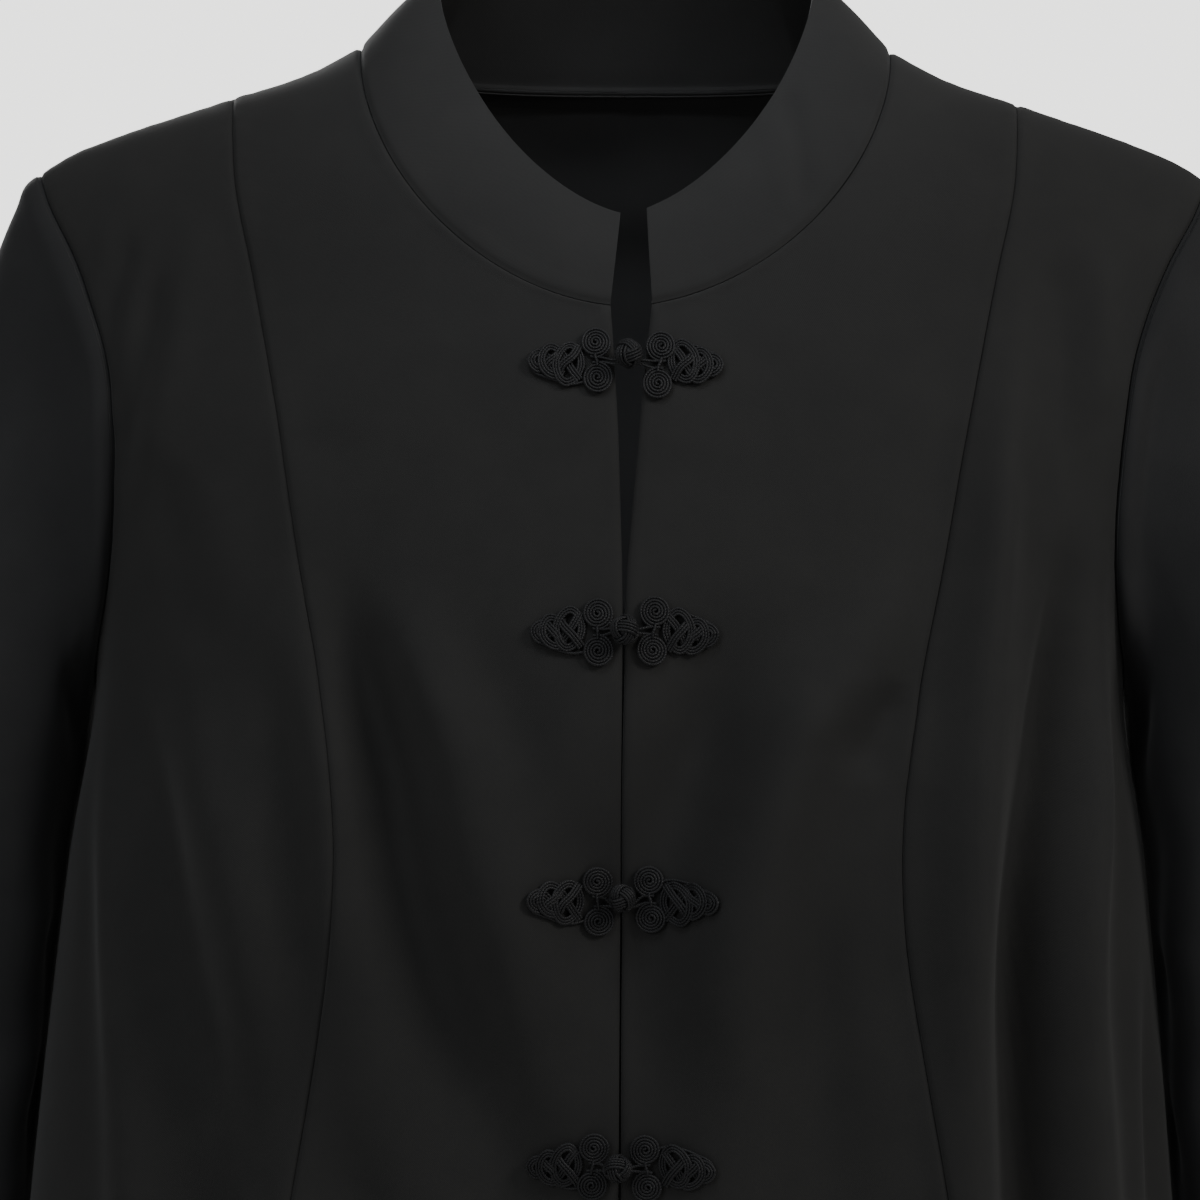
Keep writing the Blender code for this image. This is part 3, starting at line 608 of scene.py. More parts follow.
# materials: colours and the thread spacing in metres
weave = {
    "colour": (0.0086, 0.0086, 0.0087),
    "worn": (0.0130, 0.0128, 0.0125),
    "thread": 0.00062,
    "depth": 0.00006,
    "bump": 0.55,
    "rough": 0.74,
    "roughSpread": 0.12,
    "specular": 0.16,
    "sheen": 0.05,
    "sheenRough": 0.45,
}
cord = {
    "colour": (0.0045, 0.0045, 0.0052),
    "light": (0.0078, 0.0078, 0.0092),
    "depth": 0.00008,
    "bump": 0.5,
    "rough": 0.5,
    "specular": 0.2,
    "sheen": 0.03,
    "ply": (1.04, 0.84, 1.0),  # how far the round section is drawn out and pressed flat
    "plyTurn": 0.0019,
    "step": 0.00042,
    "wobble": 0.0002,
    "waver": 420,
}


def newMaterial(name):
    made = bpy.data.materials.new(name)
    made.use_nodes = True
    tree = made.node_tree
    return made, tree, tree.nodes["Principled BSDF"], addNode(tree, "ShaderNodeTexCoord").outputs["Object"]


def setInputs(tree, node, inputs):
    # each input is linked to a socket or set to a value
    for name, value in inputs.items():
        if isinstance(value, bpy.types.NodeSocket):
            tree.links.new(value, node.inputs[name])
        else:
            node.inputs[name].default_value = value


def addNode(tree, kind, inputs=(), **values):
    node = tree.nodes.new(kind)
    for name, value in values.items():
        setattr(node, name, value)
    setInputs(tree, node, dict(inputs))
    return node


def noiseNode(tree, vector, scale, detail, rough=0.5):
    inputs = {"Vector": vector, "Scale": scale, "Detail": detail, "Roughness": rough}
    return addNode(tree, "ShaderNodeTexNoise", inputs).outputs["Fac"]


def mathNode(tree, operation, *values):
    return addNode(tree, "ShaderNodeMath", dict(enumerate(values)), operation=operation).outputs[0]


def mixNode(tree, share, first, second):
    inputs = {"Factor": share, "A": (*first, 1), "B": (*second, 1)}
    return addNode(tree, "ShaderNodeMix", inputs, data_type="RGBA").outputs["Result"]


def bumpNode(tree, height, strength, depth):
    inputs = {"Strength": strength, "Distance": depth, "Height": height}
    return addNode(tree, "ShaderNodeBump", inputs).outputs["Normal"]


def clothMaterial(name, shadeTint):
    made, tree, shader, place = newMaterial(name)
    threads = addNode(tree, "ShaderNodeUVMap", uv_map="threads").outputs["UV"]
    split = addNode(tree, "ShaderNodeSeparateXYZ", {0: threads})
    turn = 2 * math.pi / weave["thread"]
    warp, weft = [mathNode(tree, "SINE", mathNode(tree, "MULTIPLY", split.outputs[k], turn)) for k in "XY"]
    slub = noiseNode(tree, threads, 900, 3)
    cloudy = noiseNode(tree, place, 55, 4, 0.6)
    patches = noiseNode(tree, place, 9, 3)
    # a little lighter where the nap is brushed up
    blend = mathNode(tree, "MULTIPLY", cloudy, mathNode(tree, "ADD", patches, slub))
    # a shade tint below 1 darkens this copy of the cloth: painted shade
    colours = [[c * t for c, t in zip(weave[key], shadeTint, strict=True)] for key in ("colour", "worn")]
    crossing = mathNode(tree, "MULTIPLY", mathNode(tree, "MULTIPLY", warp, weft), 0.35)
    nap = mathNode(tree, "ADD", slub, mathNode(tree, "MULTIPLY", cloudy, 2.2))
    normal = bumpNode(tree, mathNode(tree, "ADD", crossing, nap), weave["bump"], weave["depth"])
    rough = mathNode(tree, "ADD", mathNode(tree, "MULTIPLY", slub, weave["roughSpread"]), weave["rough"])
    setInputs(tree, shader, {
        "Base Color": mixNode(tree, blend, *colours), "Roughness": rough, "Normal": normal,
        "Specular IOR Level": weave["specular"], "Sheen Weight": weave["sheen"],
        "Sheen Roughness": weave["sheenRough"]})
    return made


def cordMaterial(name):
    made, tree, shader, place = newMaterial(name)
    fibres = noiseNode(tree, place, 2600, 3)
    blend = mathNode(tree, "MULTIPLY", fibres, noiseNode(tree, place, 240, 2))
    setInputs(tree, shader, {
        "Base Color": mixNode(tree, blend, cord["colour"], cord["light"]), "Roughness": cord["rough"],
        "Normal": bumpNode(tree, fibres, cord["bump"], cord["depth"]), "Specular IOR Level": cord["specular"],
        "Sheen Weight": cord["sheen"]})
    return made


bodyCloth = clothMaterial("bodyCloth", (1.0, 1.0, 1.0))
# the sleeves' cloth is a darker, bluer copy of the body's cloth: painted shade where the sleeves hang beside
# the body
sleeveCloth = clothMaterial("sleeveCloth", (0.94, 0.96, 1.03))
cordMade = cordMaterial("twistedCord")

# fronts and back
panels = {"columns": 38, "backColumns": 46, "centreWide": 95, "sideWide": 85, "backWide": 190, "edgeRoll": 0.6}


def finishPiece(made, node):
    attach(made, "root")
    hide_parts(node)


def addPanel(name, node, grid, material=bodyCloth, closed=False, facing=None,
             wall=cloth["wall"]):
    made = linkObject(name, gridMesh(name, grid, closed, facing), material)
    finishPiece(thicken(made, wall), node)


armholeEdges = {}
neckEdges = {}
whole = slice(0, None)
# the front edge turned back: how far back from the fold, and how deep inside
turnedBack = [(-0.35, 0.35), (-0.35, 1.2), (0.2, 1.75), (2.5, 1.8), (6, 1.8), (11, 1.8), (17, 1.8), (24, 1.8)]


def edgeLine(grid, normal, row, column):
    # a seam edge before it is rolled in, for the piece that is sewn to it
    return grid[row:, column].copy(), normal[row:, column].copy()


def frontPanels(side):
    word = "Left" if side > 0 else "Right"
    around, heights = frontCentreLine(side)
    seam = seamByArc(side, princess, -1, frontShares)
    corner = neckRows[-1]
    shares = columnShares(panels["columns"], panels["centreWide"])
    grid, a, h = strip(side, -1, (around, heights), seam, shares, frontShares)
    grid, normal = creased(side, -1, grid, a, h)
    neckEdges[side, -1] = edgeLine(grid, normal, corner - 1, 0)
    grid = rollEdges(grid, normal, [("first", slice(corner, None)), ("last", whole), ("top", whole)], 5 + side)
    # the front edge is folded back, so it rounds away
    edge = -panels["edgeRoll"] * (1 - smooth(distances(grid, 1) / 1.9))
    edge[corner:] = 0
    grid = grid + normal * edge[:, :, None]
    grid, normal = addAllowance(grid, normal, "neckAllowance", facing=(turnedBack, corner))
    addPanel("frontCentre" + word, "front_centre_" + word.lower(), turnUnder(grid, normal))

    outer = sideLine(side, -1, frontShares)
    shares = columnShares(panels["columns"], panels["sideWide"])
    grid, a, h = strip(side, -1, seam, outer, shares, frontShares)
    grid, normal = creased(side, -1, grid, a, h)
    armholeEdges[side, -1] = edgeLine(grid, normal, len(lowHeights) - 1, -1)
    grid = rollEdges(grid, normal, [("first", whole), ("last", whole), ("top", whole)], 8 + side)
    grid, normal = addAllowance(grid, normal)
    addPanel("frontSide" + word, "front_side_" + word.lower(), turnUnder(grid, normal))


def backPanel():
    halves = []
    for side in (-1, 1):
        around, heights = backCentreLine(side)
        shares = columnShares(panels["backColumns"], panels["backWide"])
        grid, a, h = strip(side, 1, (around, heights), sideLine(side, 1, backShares), shares, backShares)
        grid, normal = creased(side, 1, grid, a, h)
        corner = neckRows[1]
        grid[:corner, 0, 0] = normal[:corner, 0, 0] = 0.0
        normal = unit(normal)
        armholeEdges[side, 1] = edgeLine(grid, normal, len(lowHeights) - 1, -1)
        neckEdges[side, 1] = edgeLine(grid, normal, corner - 1, 0)
        edges = [("first", slice(corner - 1, None)), ("last", whole), ("top", whole)]
        grid = rollEdges(grid, normal, edges, 12 + side)
        low = turnUnder(*addAllowance(grid[:corner], normal[:corner], None, top=False))
        high = addAllowance(grid[corner - 1:], normal[corner - 1:], "neckAllowance")[0]
        halves += [gridMesh("backPanel", low), gridMesh("backPanel", high)]
    made, *others = [linkObject("backPanel", half, bodyCloth) for half in halves]
    joinInto(made, others)
    made.name = "backPanel"
    weld = made.modifiers.new("centre", "WELD")
    weld.merge_threshold = 0.00005
    finishPiece(thicken(made, cloth["wall"]), "back")


for side in (1, -1):
    frontPanels(side)
print("fronts made")
backPanel()
print("back made")

# sleeves: rings from the underarm down, and how they leave the armhole
# apart is clear of the body, half and deep are the half sizes, and back is how far behind the shoulder line
sleeve = {
    "height": [-245, -300, -383, -480, -603],
    "apart": [1.1, 1.1, 1.1, 1.8, 7.0],
    "half": [38, 38.5, 38.5, 37.5, 35],
    "deep": [60, 58, 54, 50, 45],
    "back": [20, 23, 24, 20, 8],
    "square": [4.4, 5.0, 4.8, 3.8, 2.6],
    "capRings": 54,
    "rings": 92,
    "capSpread": 0.25,
    "underarmSpread": 0.45,
    "roll": 1.15,
    "rollAt": 6.5,
    "rollWide": 5.0,
    "sink": 0.5,
    "gathers": 0.22,
    "turnWide": 150,  # cloth for one unit of turn, half way round the sleeve
}
# turn is 0 outside, 0.5 in front, 1 at the underarm and 1.5 behind; height in millimetres; then width, depth
sleeveCreases = {
    -1: [
        ([(0.18, -72), (0.24, -92), (0.33, -125), (0.44, -160), (0.56, -187), (0.74, -214),
          (0.84, -250)], 12, -3.8),
        ([(0.36, -92), (0.44, -126), (0.55, -160), (0.68, -190)], 8, 1.6),
        ([(0.14, -112), (0.24, -150), (0.36, -190), (0.52, -226), (0.66, -275), (0.70, -340),
          (0.70, -440)], 9, 2.4),
        ([(0.12, -150), (0.20, -215), (0.28, -290)], 12, -1.8),
        ([(0.80, -286), (0.70, -318), (0.60, -340)], 10, -1.2),
        ([(0.86, -334), (0.76, -358), (0.66, -374)], 10, -1.1),
        ([(0.70, -395), (0.62, -440), (0.60, -500)], 9, 1.6),
        ([(0.45, -390), (0.42, -450), (0.44, -540)], 10, -1.8),
        ([(1.44, -96), (1.36, -140), (1.26, -190), (1.14, -240)], 11, -4.6),
        ([(1.62, -120), (1.54, -185), (1.44, -250)], 11, 2.0),
        ([(1.20, -300), (1.36, -330), (1.52, -338)], 9, -2.2),
        ([(1.70, -200), (1.74, -300), (1.70, -400)], 13, -1.6),
        ([(1.30, -400), (1.34, -480), (1.32, -580)], 11, -1.8),
        ([(0.10, -330), (0.06, -420), (0.10, -520)], 12, 1.3),
    ],
    1: [
        ([(0.28, -84), (0.36, -110), (0.45, -142), (0.53, -166), (0.66, -198), (0.82, -230),
          (0.90, -262)], 10, -3.0),
        ([(0.26, -112), (0.33, -152), (0.44, -192), (0.56, -228), (0.66, -280), (0.70, -340),
          (0.70, -440)], 9, 2.2),
        ([(0.10, -160), (0.20, -230), (0.26, -300)], 12, -1.7),
        ([(0.82, -294), (0.70, -326), (0.60, -344)], 10, -1.2),
        ([(0.84, -348), (0.75, -370), (0.65, -384)], 10, -1.0),
        ([(0.68, -400), (0.64, -450), (0.60, -520)], 9, 1.6),
        ([(0.40, -400), (0.44, -470), (0.42, -560)], 10, -1.8),
        ([(1.46, -100), (1.38, -145), (1.27, -194), (1.14, -246)], 11, -4.6),
        ([(1.64, -124), (1.55, -190), (1.46, -260)], 11, 2.0),
        ([(1.18, -306), (1.34, -334), (1.50, -344)], 9, -2.2),
        ([(1.72, -210), (1.70, -300), (1.74, -410)], 13, -1.6),
        ([(1.28, -396), (1.34, -470), (1.30, -575)], 11, -1.8),
        ([(0.08, -320), (0.10, -430), (0.06, -530)], 12, 1.3),
    ],
}


def sleeveRing(side, height, turns):
    half = readColumn(sleeve, "half", height)
    middle = halfWidth(side, height) + readColumn(sleeve, "apart", height) + half
    power = 2 / readColumn(sleeve, "square", height)
    around = np.linspace(0, 2, 961)
    cosine, sine = np.cos(around * math.pi), np.sin(around * math.pi)
    x = middle + half * np.sign(cosine) * np.abs(cosine) ** power
    deep = readColumn(sleeve, "deep", height) * np.sign(sine) * np.abs(sine) ** power
    # even steps round the ring
    marks = distances(np.stack([x, deep], -1))
    at = turns / 2 * marks[-1]
    x, deep = np.interp(at, marks, x), np.interp(at, marks, deep)
    return np.stack([side * x, readColumn(sleeve, "back", height) - deep, height + 0 * x], -1)


def armholeRing(side):
    # the armhole's edge from the shoulder down the front and up the back, with each point's turn
    front, frontNormal = [line[::-1] for line in armholeEdges[side, -1]]
    back, backNormal = [line[1:-1] for line in armholeEdges[side, 1]]
    frontTurns = 1 - np.concatenate([[0], frontShares])[::-1]
    backTurns = 1 + backShares[:-1]
    points, normals = np.concatenate([front, back]), np.concatenate([frontNormal, backNormal])
    return points, normals, np.concatenate([frontTurns, backTurns])


def sleeveGrid(side):
    start, inward, turns = armholeRing(side)
    start, inward, turns = start[::2], inward[::2], turns[::2]  # every other point is enough for the ring
    top = (1 + np.cos(turns * math.pi)) / 2
    aside, drop = 0.3 + 0.85 * top - 0.3 * top**2, 0.9 - 0.6 * top + 0.2 * top**2
    leave = unit(np.stack([aside * side, -0.5 * np.sin(turns * math.pi), -drop], -1))
    spread = (sleeve["underarmSpread"] + (sleeve["capSpread"] - sleeve["underarmSpread"]) * top)[:, None]
    begin = start + leave * seams["gap"]
    first = sleeveRing(side, float(sleeve["height"][0]), turns)
    reach = np.linalg.norm(first - begin, axis=1, keepdims=True)
    down = unit(np.array([0.2 * side, 0, -1]))
    rings = []
    cap = np.linspace(0.028, 1, sleeve["capRings"]) ** 1.12
    for t in [0, 0.002, 0.005, 0.009, 0.014, 0.02, *cap]:
        rings.append(
            (1 + 2 * t) * (1 - t) ** 2 * begin
            + t * (1 - t) ** 2 * reach * spread * leave
            + t**2 * (3 - 2 * t) * first
            - t**2 * (1 - t) * reach * down
        )
    low = sleeve["height"][-1]
    evenly = np.linspace(sleeve["height"][0], low + 6, sleeve["rings"])
    heights = np.concatenate([evenly, low + np.array([4, 2.6, 1.4, 0.6, 0])])
    rings += [sleeveRing(side, float(h), turns) for h in heights[1:]]
    grid = np.array(rings)
    centres = grid.mean(axis=1, keepdims=True)
    down = np.gradient(grid, axis=0)
    wide = np.gradient(np.concatenate([grid[:, -1:], grid, grid[:, :1]], axis=1), axis=1)[:, 1:-1]
    normal = unit(np.cross(wide, down))
    if (normal * (grid - centres)).sum() < 0:
        normal = -normal
    far = distances(grid)
    # the cap is eased in: it rolls out over the seam, fullest at the top
    full = (0.35 + 0.65 * top)[None, :]
    ease = sleeve["roll"] * full * np.exp(-(((far - sleeve["rollAt"]) / sleeve["rollWide"]) ** 2))
    ease -= sleeve["sink"] * (1 - smooth(far / 1.8))
    gathers = sleeve["gathers"] * np.sin(turns * 88 + 0.7) * np.sin(turns * 37 + 1.9)
    ease += gathers * np.exp(-(((far - 5) / 5.5) ** 2)) * smooth(far / 2) * (top > 0.25)
    move = np.zeros(grid.shape[:2])
    turnMarks = np.broadcast_to(turns * sleeve["turnWide"], move.shape)
    for points, width, depth in sleeveCreases[side]:
        path, along = softPath(points)
        for wrap in (-2, 0, 2):
            shifted = (path + [wrap, 0]) * [sleeve["turnWide"], 1]
            move += creaseHeight(turnMarks, grid[:, :, 2], shifted, along, width, depth)
    for across, drop, begin in ripples:
        ringWave = np.sin(turns * 6.2832 * round(across * 90) + begin)
        move += relief["sleeveRipples"] * ringWave * np.sin(grid[:, :, 2] * drop * 2.2 + begin)
    inner = smooth((np.cos((turns - 1) * math.pi) - 0.75) / 0.2)  # stays clear of the body
    grid = grid + normal * (relief["sleeves"] * move * (1 - inner) * smooth(far / 14) + ease)[:, :, None]
    grid = np.concatenate([[grid[0] - inward * d for d in seams["allowance"][::-1]], grid])
    normal = np.concatenate([np.repeat(normal[:1], len(seams["allowance"]), axis=0), normal])
    return turnUnder(grid[::-1], normal[::-1]), centres[:, 0]


for side in (1, -1):
    word = "Left" if side > 0 else "Right"
    grid, centres = sleeveGrid(side)
    middle = toWorld(centres)

    def fromMiddle(points, middle=middle, grid=grid):
        return points - middle[np.abs(points[:, 2:3] - middle[None, :, 2]).argmin(axis=1)]

    addPanel("sleeve" + word, "sleeve_" + word.lower(), grid,
             sleeveCloth, closed=True, facing=fromMiddle)
print("sleeves set in")

# collar
collar = {
    "topHalf": 63.0,
    "sideHeight": 25.0,
    "frontHeight": -55.0,
    "backHeight": 29.0,
    "topFront": 45.0,
    "topBack": 31.0,
    "round": 1.6,
    "backRound": 2.2,
    "leftEnd": 7.2,
    "rightEnd": 1.3,
    "rows": 26,
    "columns": 190,
    "wall": 1.9,
    "rim": 0.7,
    "seamOpen": 0.28,
    "bow": 0.9,  # the stand bows out slightly between its edges
}


def roundCurve(turn, power):
    # the two coordinates of a quarter curve: power 2 is round, less is slacker and more is squarer
    return np.sin(turn) ** (2 / power), np.maximum(np.cos(turn), 0) ** (2 / power)


def collarTop(side, face, t):
    # the top edge: t is 0 at the centre and 1 at the shoulder
    if face < 0:
        end = collar["leftEnd"] if side > 0 else collar["rightEnd"]
        first = math.asin((end / collar["topHalf"]) ** (collar["round"] / 2))
        sine, cosine = roundCurve(first + (math.pi / 2 - first) * t, collar["round"])
        depth = -collar["topFront"] * np.maximum(1 - sine**2.3, 0) ** (1 / 2.3)
        rise = collar["frontHeight"] - collar["sideHeight"]
    else:
        sine, cosine = roundCurve(t * math.pi / 2, collar["backRound"])
        depth = collar["topBack"] * cosine
        rise = collar["backHeight"] - collar["sideHeight"]
    return np.stack([side * collar["topHalf"] * sine, depth, collar["sideHeight"] + rise * cosine], -1)


def neckColumns(side, face):
    # the neck seam from the centre to the shoulder, with the collar's top edge above each point
    shares, corner = (frontShares, rows["neckFront"]) if face < 0 else (backShares, rows["neckBack"])
    t = np.concatenate([[0], (shares[shares > corner + 1e-9] - corner) / (1 - corner)])
    bottom, inward = neckEdges[side, face]
    return bottom, collarTop(side, face, t), inward


def collarGrid():
    parts = []
    for side, face, turnRound in ((1, -1, False), (1, 1, True), (-1, 1, False), (-1, -1, True)):
        lines = neckColumns(side, face)
        parts.append([line[::-1] for line in lines] if turnRound else lines)
    # the quarters share their end points
    lines = [np.concatenate([parts[0][k], *[part[k][1:] for part in parts[1:]]]) for k in range(3)]
    # space the columns evenly, so that the top edge runs smoothly
    marks = distances(lines[0])
    even = np.linspace(0, marks[-1], collar["columns"])
    even = np.sort(np.concatenate([even, [0.5, 1.0, marks[-1] - 0.5, marks[-1] - 1.0]]))
    bottom, top, inward = [
        np.stack([np.interp(even, marks, line[:, k]) for k in range(3)], -1) for line in lines]
    inward = unit(inward)
    # round off the steps that the two quarter curves leave where they meet
    for _ in range(14):
        top[1:-1] = top[1:-1] * 0.5 + (top[:-2] + top[2:]) * 0.25
    rise = unit(top - bottom)
    share = np.linspace(0, 1, collar["rows"])
    share = np.sort(np.concatenate([share, [0.012, 0.03, 0.055, 0.985]]))[:, None, None]
    opened = seams["gap"] + collar["seamOpen"] * smooth(-bottom[:, 1:2] / 20)
    grid = bottom[None] + (top - bottom)[None] * share + (rise * opened)[None]
    normal = gridNormals(grid, outwardOf(grid))
    high = np.linalg.norm(top - bottom, axis=1)[None] * share[:, :, 0]
    u = even[None] + 0 * high
    bow = collar["bow"] * np.sin(np.clip(share[:, :, 0], 0, 1) * math.pi)
    move = bow - seams["roll"] * (1 - smooth(high / 2.4))
    move += seams["swell"] * np.exp(-(((high - 4) / seams["swellWide"]) ** 2))
    waves = np.sin(u * 0.41 + 1) + np.sin(u * 0.67 + 2.4) + np.sin(u * 0.93)
    move += 0.07 * waves * np.exp(-high / 6) * smooth(high / 1.5)
    move += 0.28 * np.sin(u * 0.052 + 0.8) * np.sin(share[:, :, 0] * 2.6)
    move += 0.15 * np.sin(u * 0.11 + high * 0.08)
    # one soft crease up the wearer's left side
    path, along = softPath([(58, 4), (70, 22), (80, 44)])
    move += creaseHeight(u, high, path, along, 5, -0.8)
    grid = grid + normal * move[:, :, None]
    return np.concatenate([[grid[0] - inward * d for d in seams["collarAllowance"][::-1]], grid])


made = linkObject("standCollar", gridMesh("standCollar", collarGrid()), bodyCloth)
finishPiece(thicken(made, collar["wall"], collar["rim"]), "collar")

tape = {"start": -1.8, "wide": 9.8, "lift": [1.6, 0.08], "wall": 0.5}


def tapeGrid():
    columns = []
    for side in (-1, 1):
        around, heights = backCentreLine(side)
        around, heights = around[neckRows[1] - 1:-2], heights[neckRows[1] - 1:-2]
        arc = arcBelow(heights, acrossAt(side, around, heights), shape["backArch"])
        steps = tape["start"] + tape["wide"] * np.linspace(0, 1, 8)
        around = np.broadcast_to(around, (len(steps), len(around)))
        level = heightAtArc(side, around, arc + steps[:, None], shape["backArch"])
        grid = bodyPoints(side, 1, around, level)
        normal = gridNormals(grid, outwardOf(grid))
        lift = np.linspace(*tape["lift"], len(steps))[:, None]
        grid = grid + normal * (bodyCrease(side, 1, around, level) - lift)[:, :, None]
        columns.append(grid if side > 0 else grid[:, :0:-1])
    return np.concatenate(columns, axis=1)


addPanel("neckTape", "neck_tape", tapeGrid(), wall=tape["wall"])
print("collar made")

# frogs: sizes of the cord fastenings in millimetres
frogs = {
    "heights": [-104, -188.5, -273, -357.5, -442],
    "stretch": [1.4, 0, 0, 0, 0],
    "centre": 0.8,
    "coil": 5.4,
    "coilTurns": 4.6,
    "coilHeart": 0.4,
    "coilDome": 0.45,
    "coilLevel": 1.25,
    "coilAcross": 8.9,
    "coilApart": 5.9,
    "leafStart": 12.6,
    "knot": 4.8,
    "knotCore": 3.5,
    "knotWrap": 3.9,
    "lift": 0.25,
    "cord": 1.02,
}


def frontSurface(across, height):
    # a point of the creased fronts and its outward direction, for things sewn on near the front edges
    side = np.where(across > 0, 1, -1)
    points = np.zeros(across.shape + (3,))
    normals = np.zeros(points.shape)
    for s in (1, -1):
        pick = side == s
        if not pick.any():
            continue
        x, z = np.abs(across[pick]), height[pick]
        around = aroundAt(s, x, z)
        beside = np.maximum(around, 0.05)
        wide = (bodyPoints(s, -1, beside + 0.02, z) - bodyPoints(s, -1, beside - 0.02, z)) * s
        tall = bodyPoints(s, -1, around, z + 2) - bodyPoints(s, -1, around, z - 2)
        normal = unit(np.cross(wide, tall))
        normal = np.where(normal[:, 1:2] > 0, -normal, normal)
        points[pick] = bodyPoints(s, -1, around, z) + normal * bodyCrease(s, -1, around, z)[:, None]
        normals[pick] = normal
    return points, normals


def layOnFront(points, height):
    # flat drawing coordinates across, up and out, laid on the fronts
    points = np.asarray(points, float)
    place, normal = frontSurface(points[:, 0], height + points[:, 1])
    return place + normal * points[:, 2:3]


def spiral(centre, turnTo, direction):
    # one coil of cord from its middle outward, ending where the cord leaves for the knot
    outer = frogs["coil"] - frogs["cord"] / 2
    t = np.linspace(0, 1, 130)
    angle = turnTo - direction * (1 - t) * frogs["coilTurns"] * 2 * math.pi
    radius = frogs["coilHeart"] + (outer - frogs["coilHeart"]) * t
    rise = frogs["coilLevel"] + frogs["coilDome"] * (1 - t)
    return np.stack([centre[0] + radius * np.cos(angle), centre[1] + radius * np.sin(angle), rise], -1)


# the leaf is a flat plait: looped bundles that lap over each other, with bundles woven across them
# along the leaf, up, half length, half height, turned by
leafLoops = [(4.7, -0.5, 4.9, 6.9, 8), (9.4, 0.5, 4.5, 5.6, -12), (13.6, 0.3, 3.4, 3.5, 6)]
# bundles woven across: the points of each as (along, up, out)
leafBundles = [
    [(0.9, 5.3, 0.9), (3.4, 1.6, 2.3), (6.2, -1.4, 2.2), (8.3, -4.3, 0.9)],
    [(1.0, -5.6, 0.9), (3.6, -2.2, 1.5), (6.0, 1.6, 1.3), (8.0, 4.4, 0.9)],
    [(6.6, 4.2, 0.9), (8.8, 1.2, 1.9), (11.0, -0.8, 1.8), (12.6, -2.9, 0.7)],
    [(7.0, -4.4, 0.8), (9.0, -1.6, 1.3), (11.2, 1.2, 1.2), (12.8, 2.6, 0.7)],
    [(11.6, 1.7, 0.8), (13.4, 0.4, 1.3), (15.2, -0.9, 0.8)],
]
leafEdge = [(-1.2, 6.2, 0.8), (3.5, 7.0, 0.75), (8.0, 6.0, 0.75), (12.0, 4.5, 0.7), (15.6, 2.6, 0.65),
            (16.9, 0.2, 0.6), (15.8, -2.2, 0.6)]


def leafPaths(side, start, seed):
    rand = np.random.default_rng(seed)
    paths = []
    gap = frogs["cord"] * 0.86
    flip = side * rand.choice([1, -1])
    t = np.linspace(0, 2 * math.pi, 72)
    for along, up, long, high, lean in leafLoops:
        lean = math.radians(lean + rand.uniform(-9, 9))
        along, up = along + rand.uniform(-0.3, 0.3), up * flip + rand.uniform(-0.3, 0.3)
        for k in range(3):
            a, b = long - gap * k, high - gap * k
            x = a * np.sign(np.cos(t)) * np.abs(np.cos(t)) ** 1.12
            y = b * np.sign(np.sin(t)) * np.abs(np.sin(t)) ** 1.12
            z = 1.15 + 0.55 * np.cos(t) + 0.12 * k
            cosine, sine = math.cos(lean), math.sin(lean)
            paths.append(np.stack([along + x * cosine - y * sine, up + x * sine + y * cosine, z], -1))
    for points in leafBundles:
        points = np.array(points) * [1, flip, 1] + rand.uniform(-0.35, 0.35, (len(points), 3)) * [1, 1, 0.2]
        middle = throughPoints(points, 30)
        across = unit(np.gradient(middle[:, :2], axis=0))[:, ::-1] * [-1, 1]
        for k in (-1, 0, 1):
            shifted = middle.copy()
            shifted[:, :2] += across * gap * k
            shifted[:, 2] -= 0.1 * abs(k)
            paths.append(shifted)
    # the cord from the coil along the leaf's edge to its tip
    edge = np.array(leafEdge) * [1, side, 1]
    paths.append(throughPoints(edge + rand.uniform(-0.15, 0.15, edge.shape), 46))
    return [path * [side, 1, 1] + [frogs["centre"] + side * start, 0, 0] for path in paths]


# each frog was tied by hand: how far its coils and knot sit from their even places
# upper left, lower left, upper right, lower right, knot; left as seen from the front
coilShifts = [
    [(0.4, 0.5), (1.1, 0.9), (0.9, -0.5), (-0.1, -0.7), (0.7, 1.1)],
    [(0.4, -0.5), (0.6, -0.4), (0.8, 0.5), (0.0, 0.3), (0.0, -0.3)],
    [(0.7, 0.2), (1.2, -0.8), (-0.2, 0.6), (0.5, 0.3), (0.0, 1.1)],
    [(0.4, 0.3), (-0.2, 0.1), (-1.0, -0.2), (-0.3, -0.3), (-0.9, 0.4)],
    [(0.2, 0.4), (0.7, -0.2), (0.3, 0.2), (-0.5, -0.5), (0.2, 0.5)],
]
sags = [0.2, 0.0, 1.6, 0.6, 0.9]


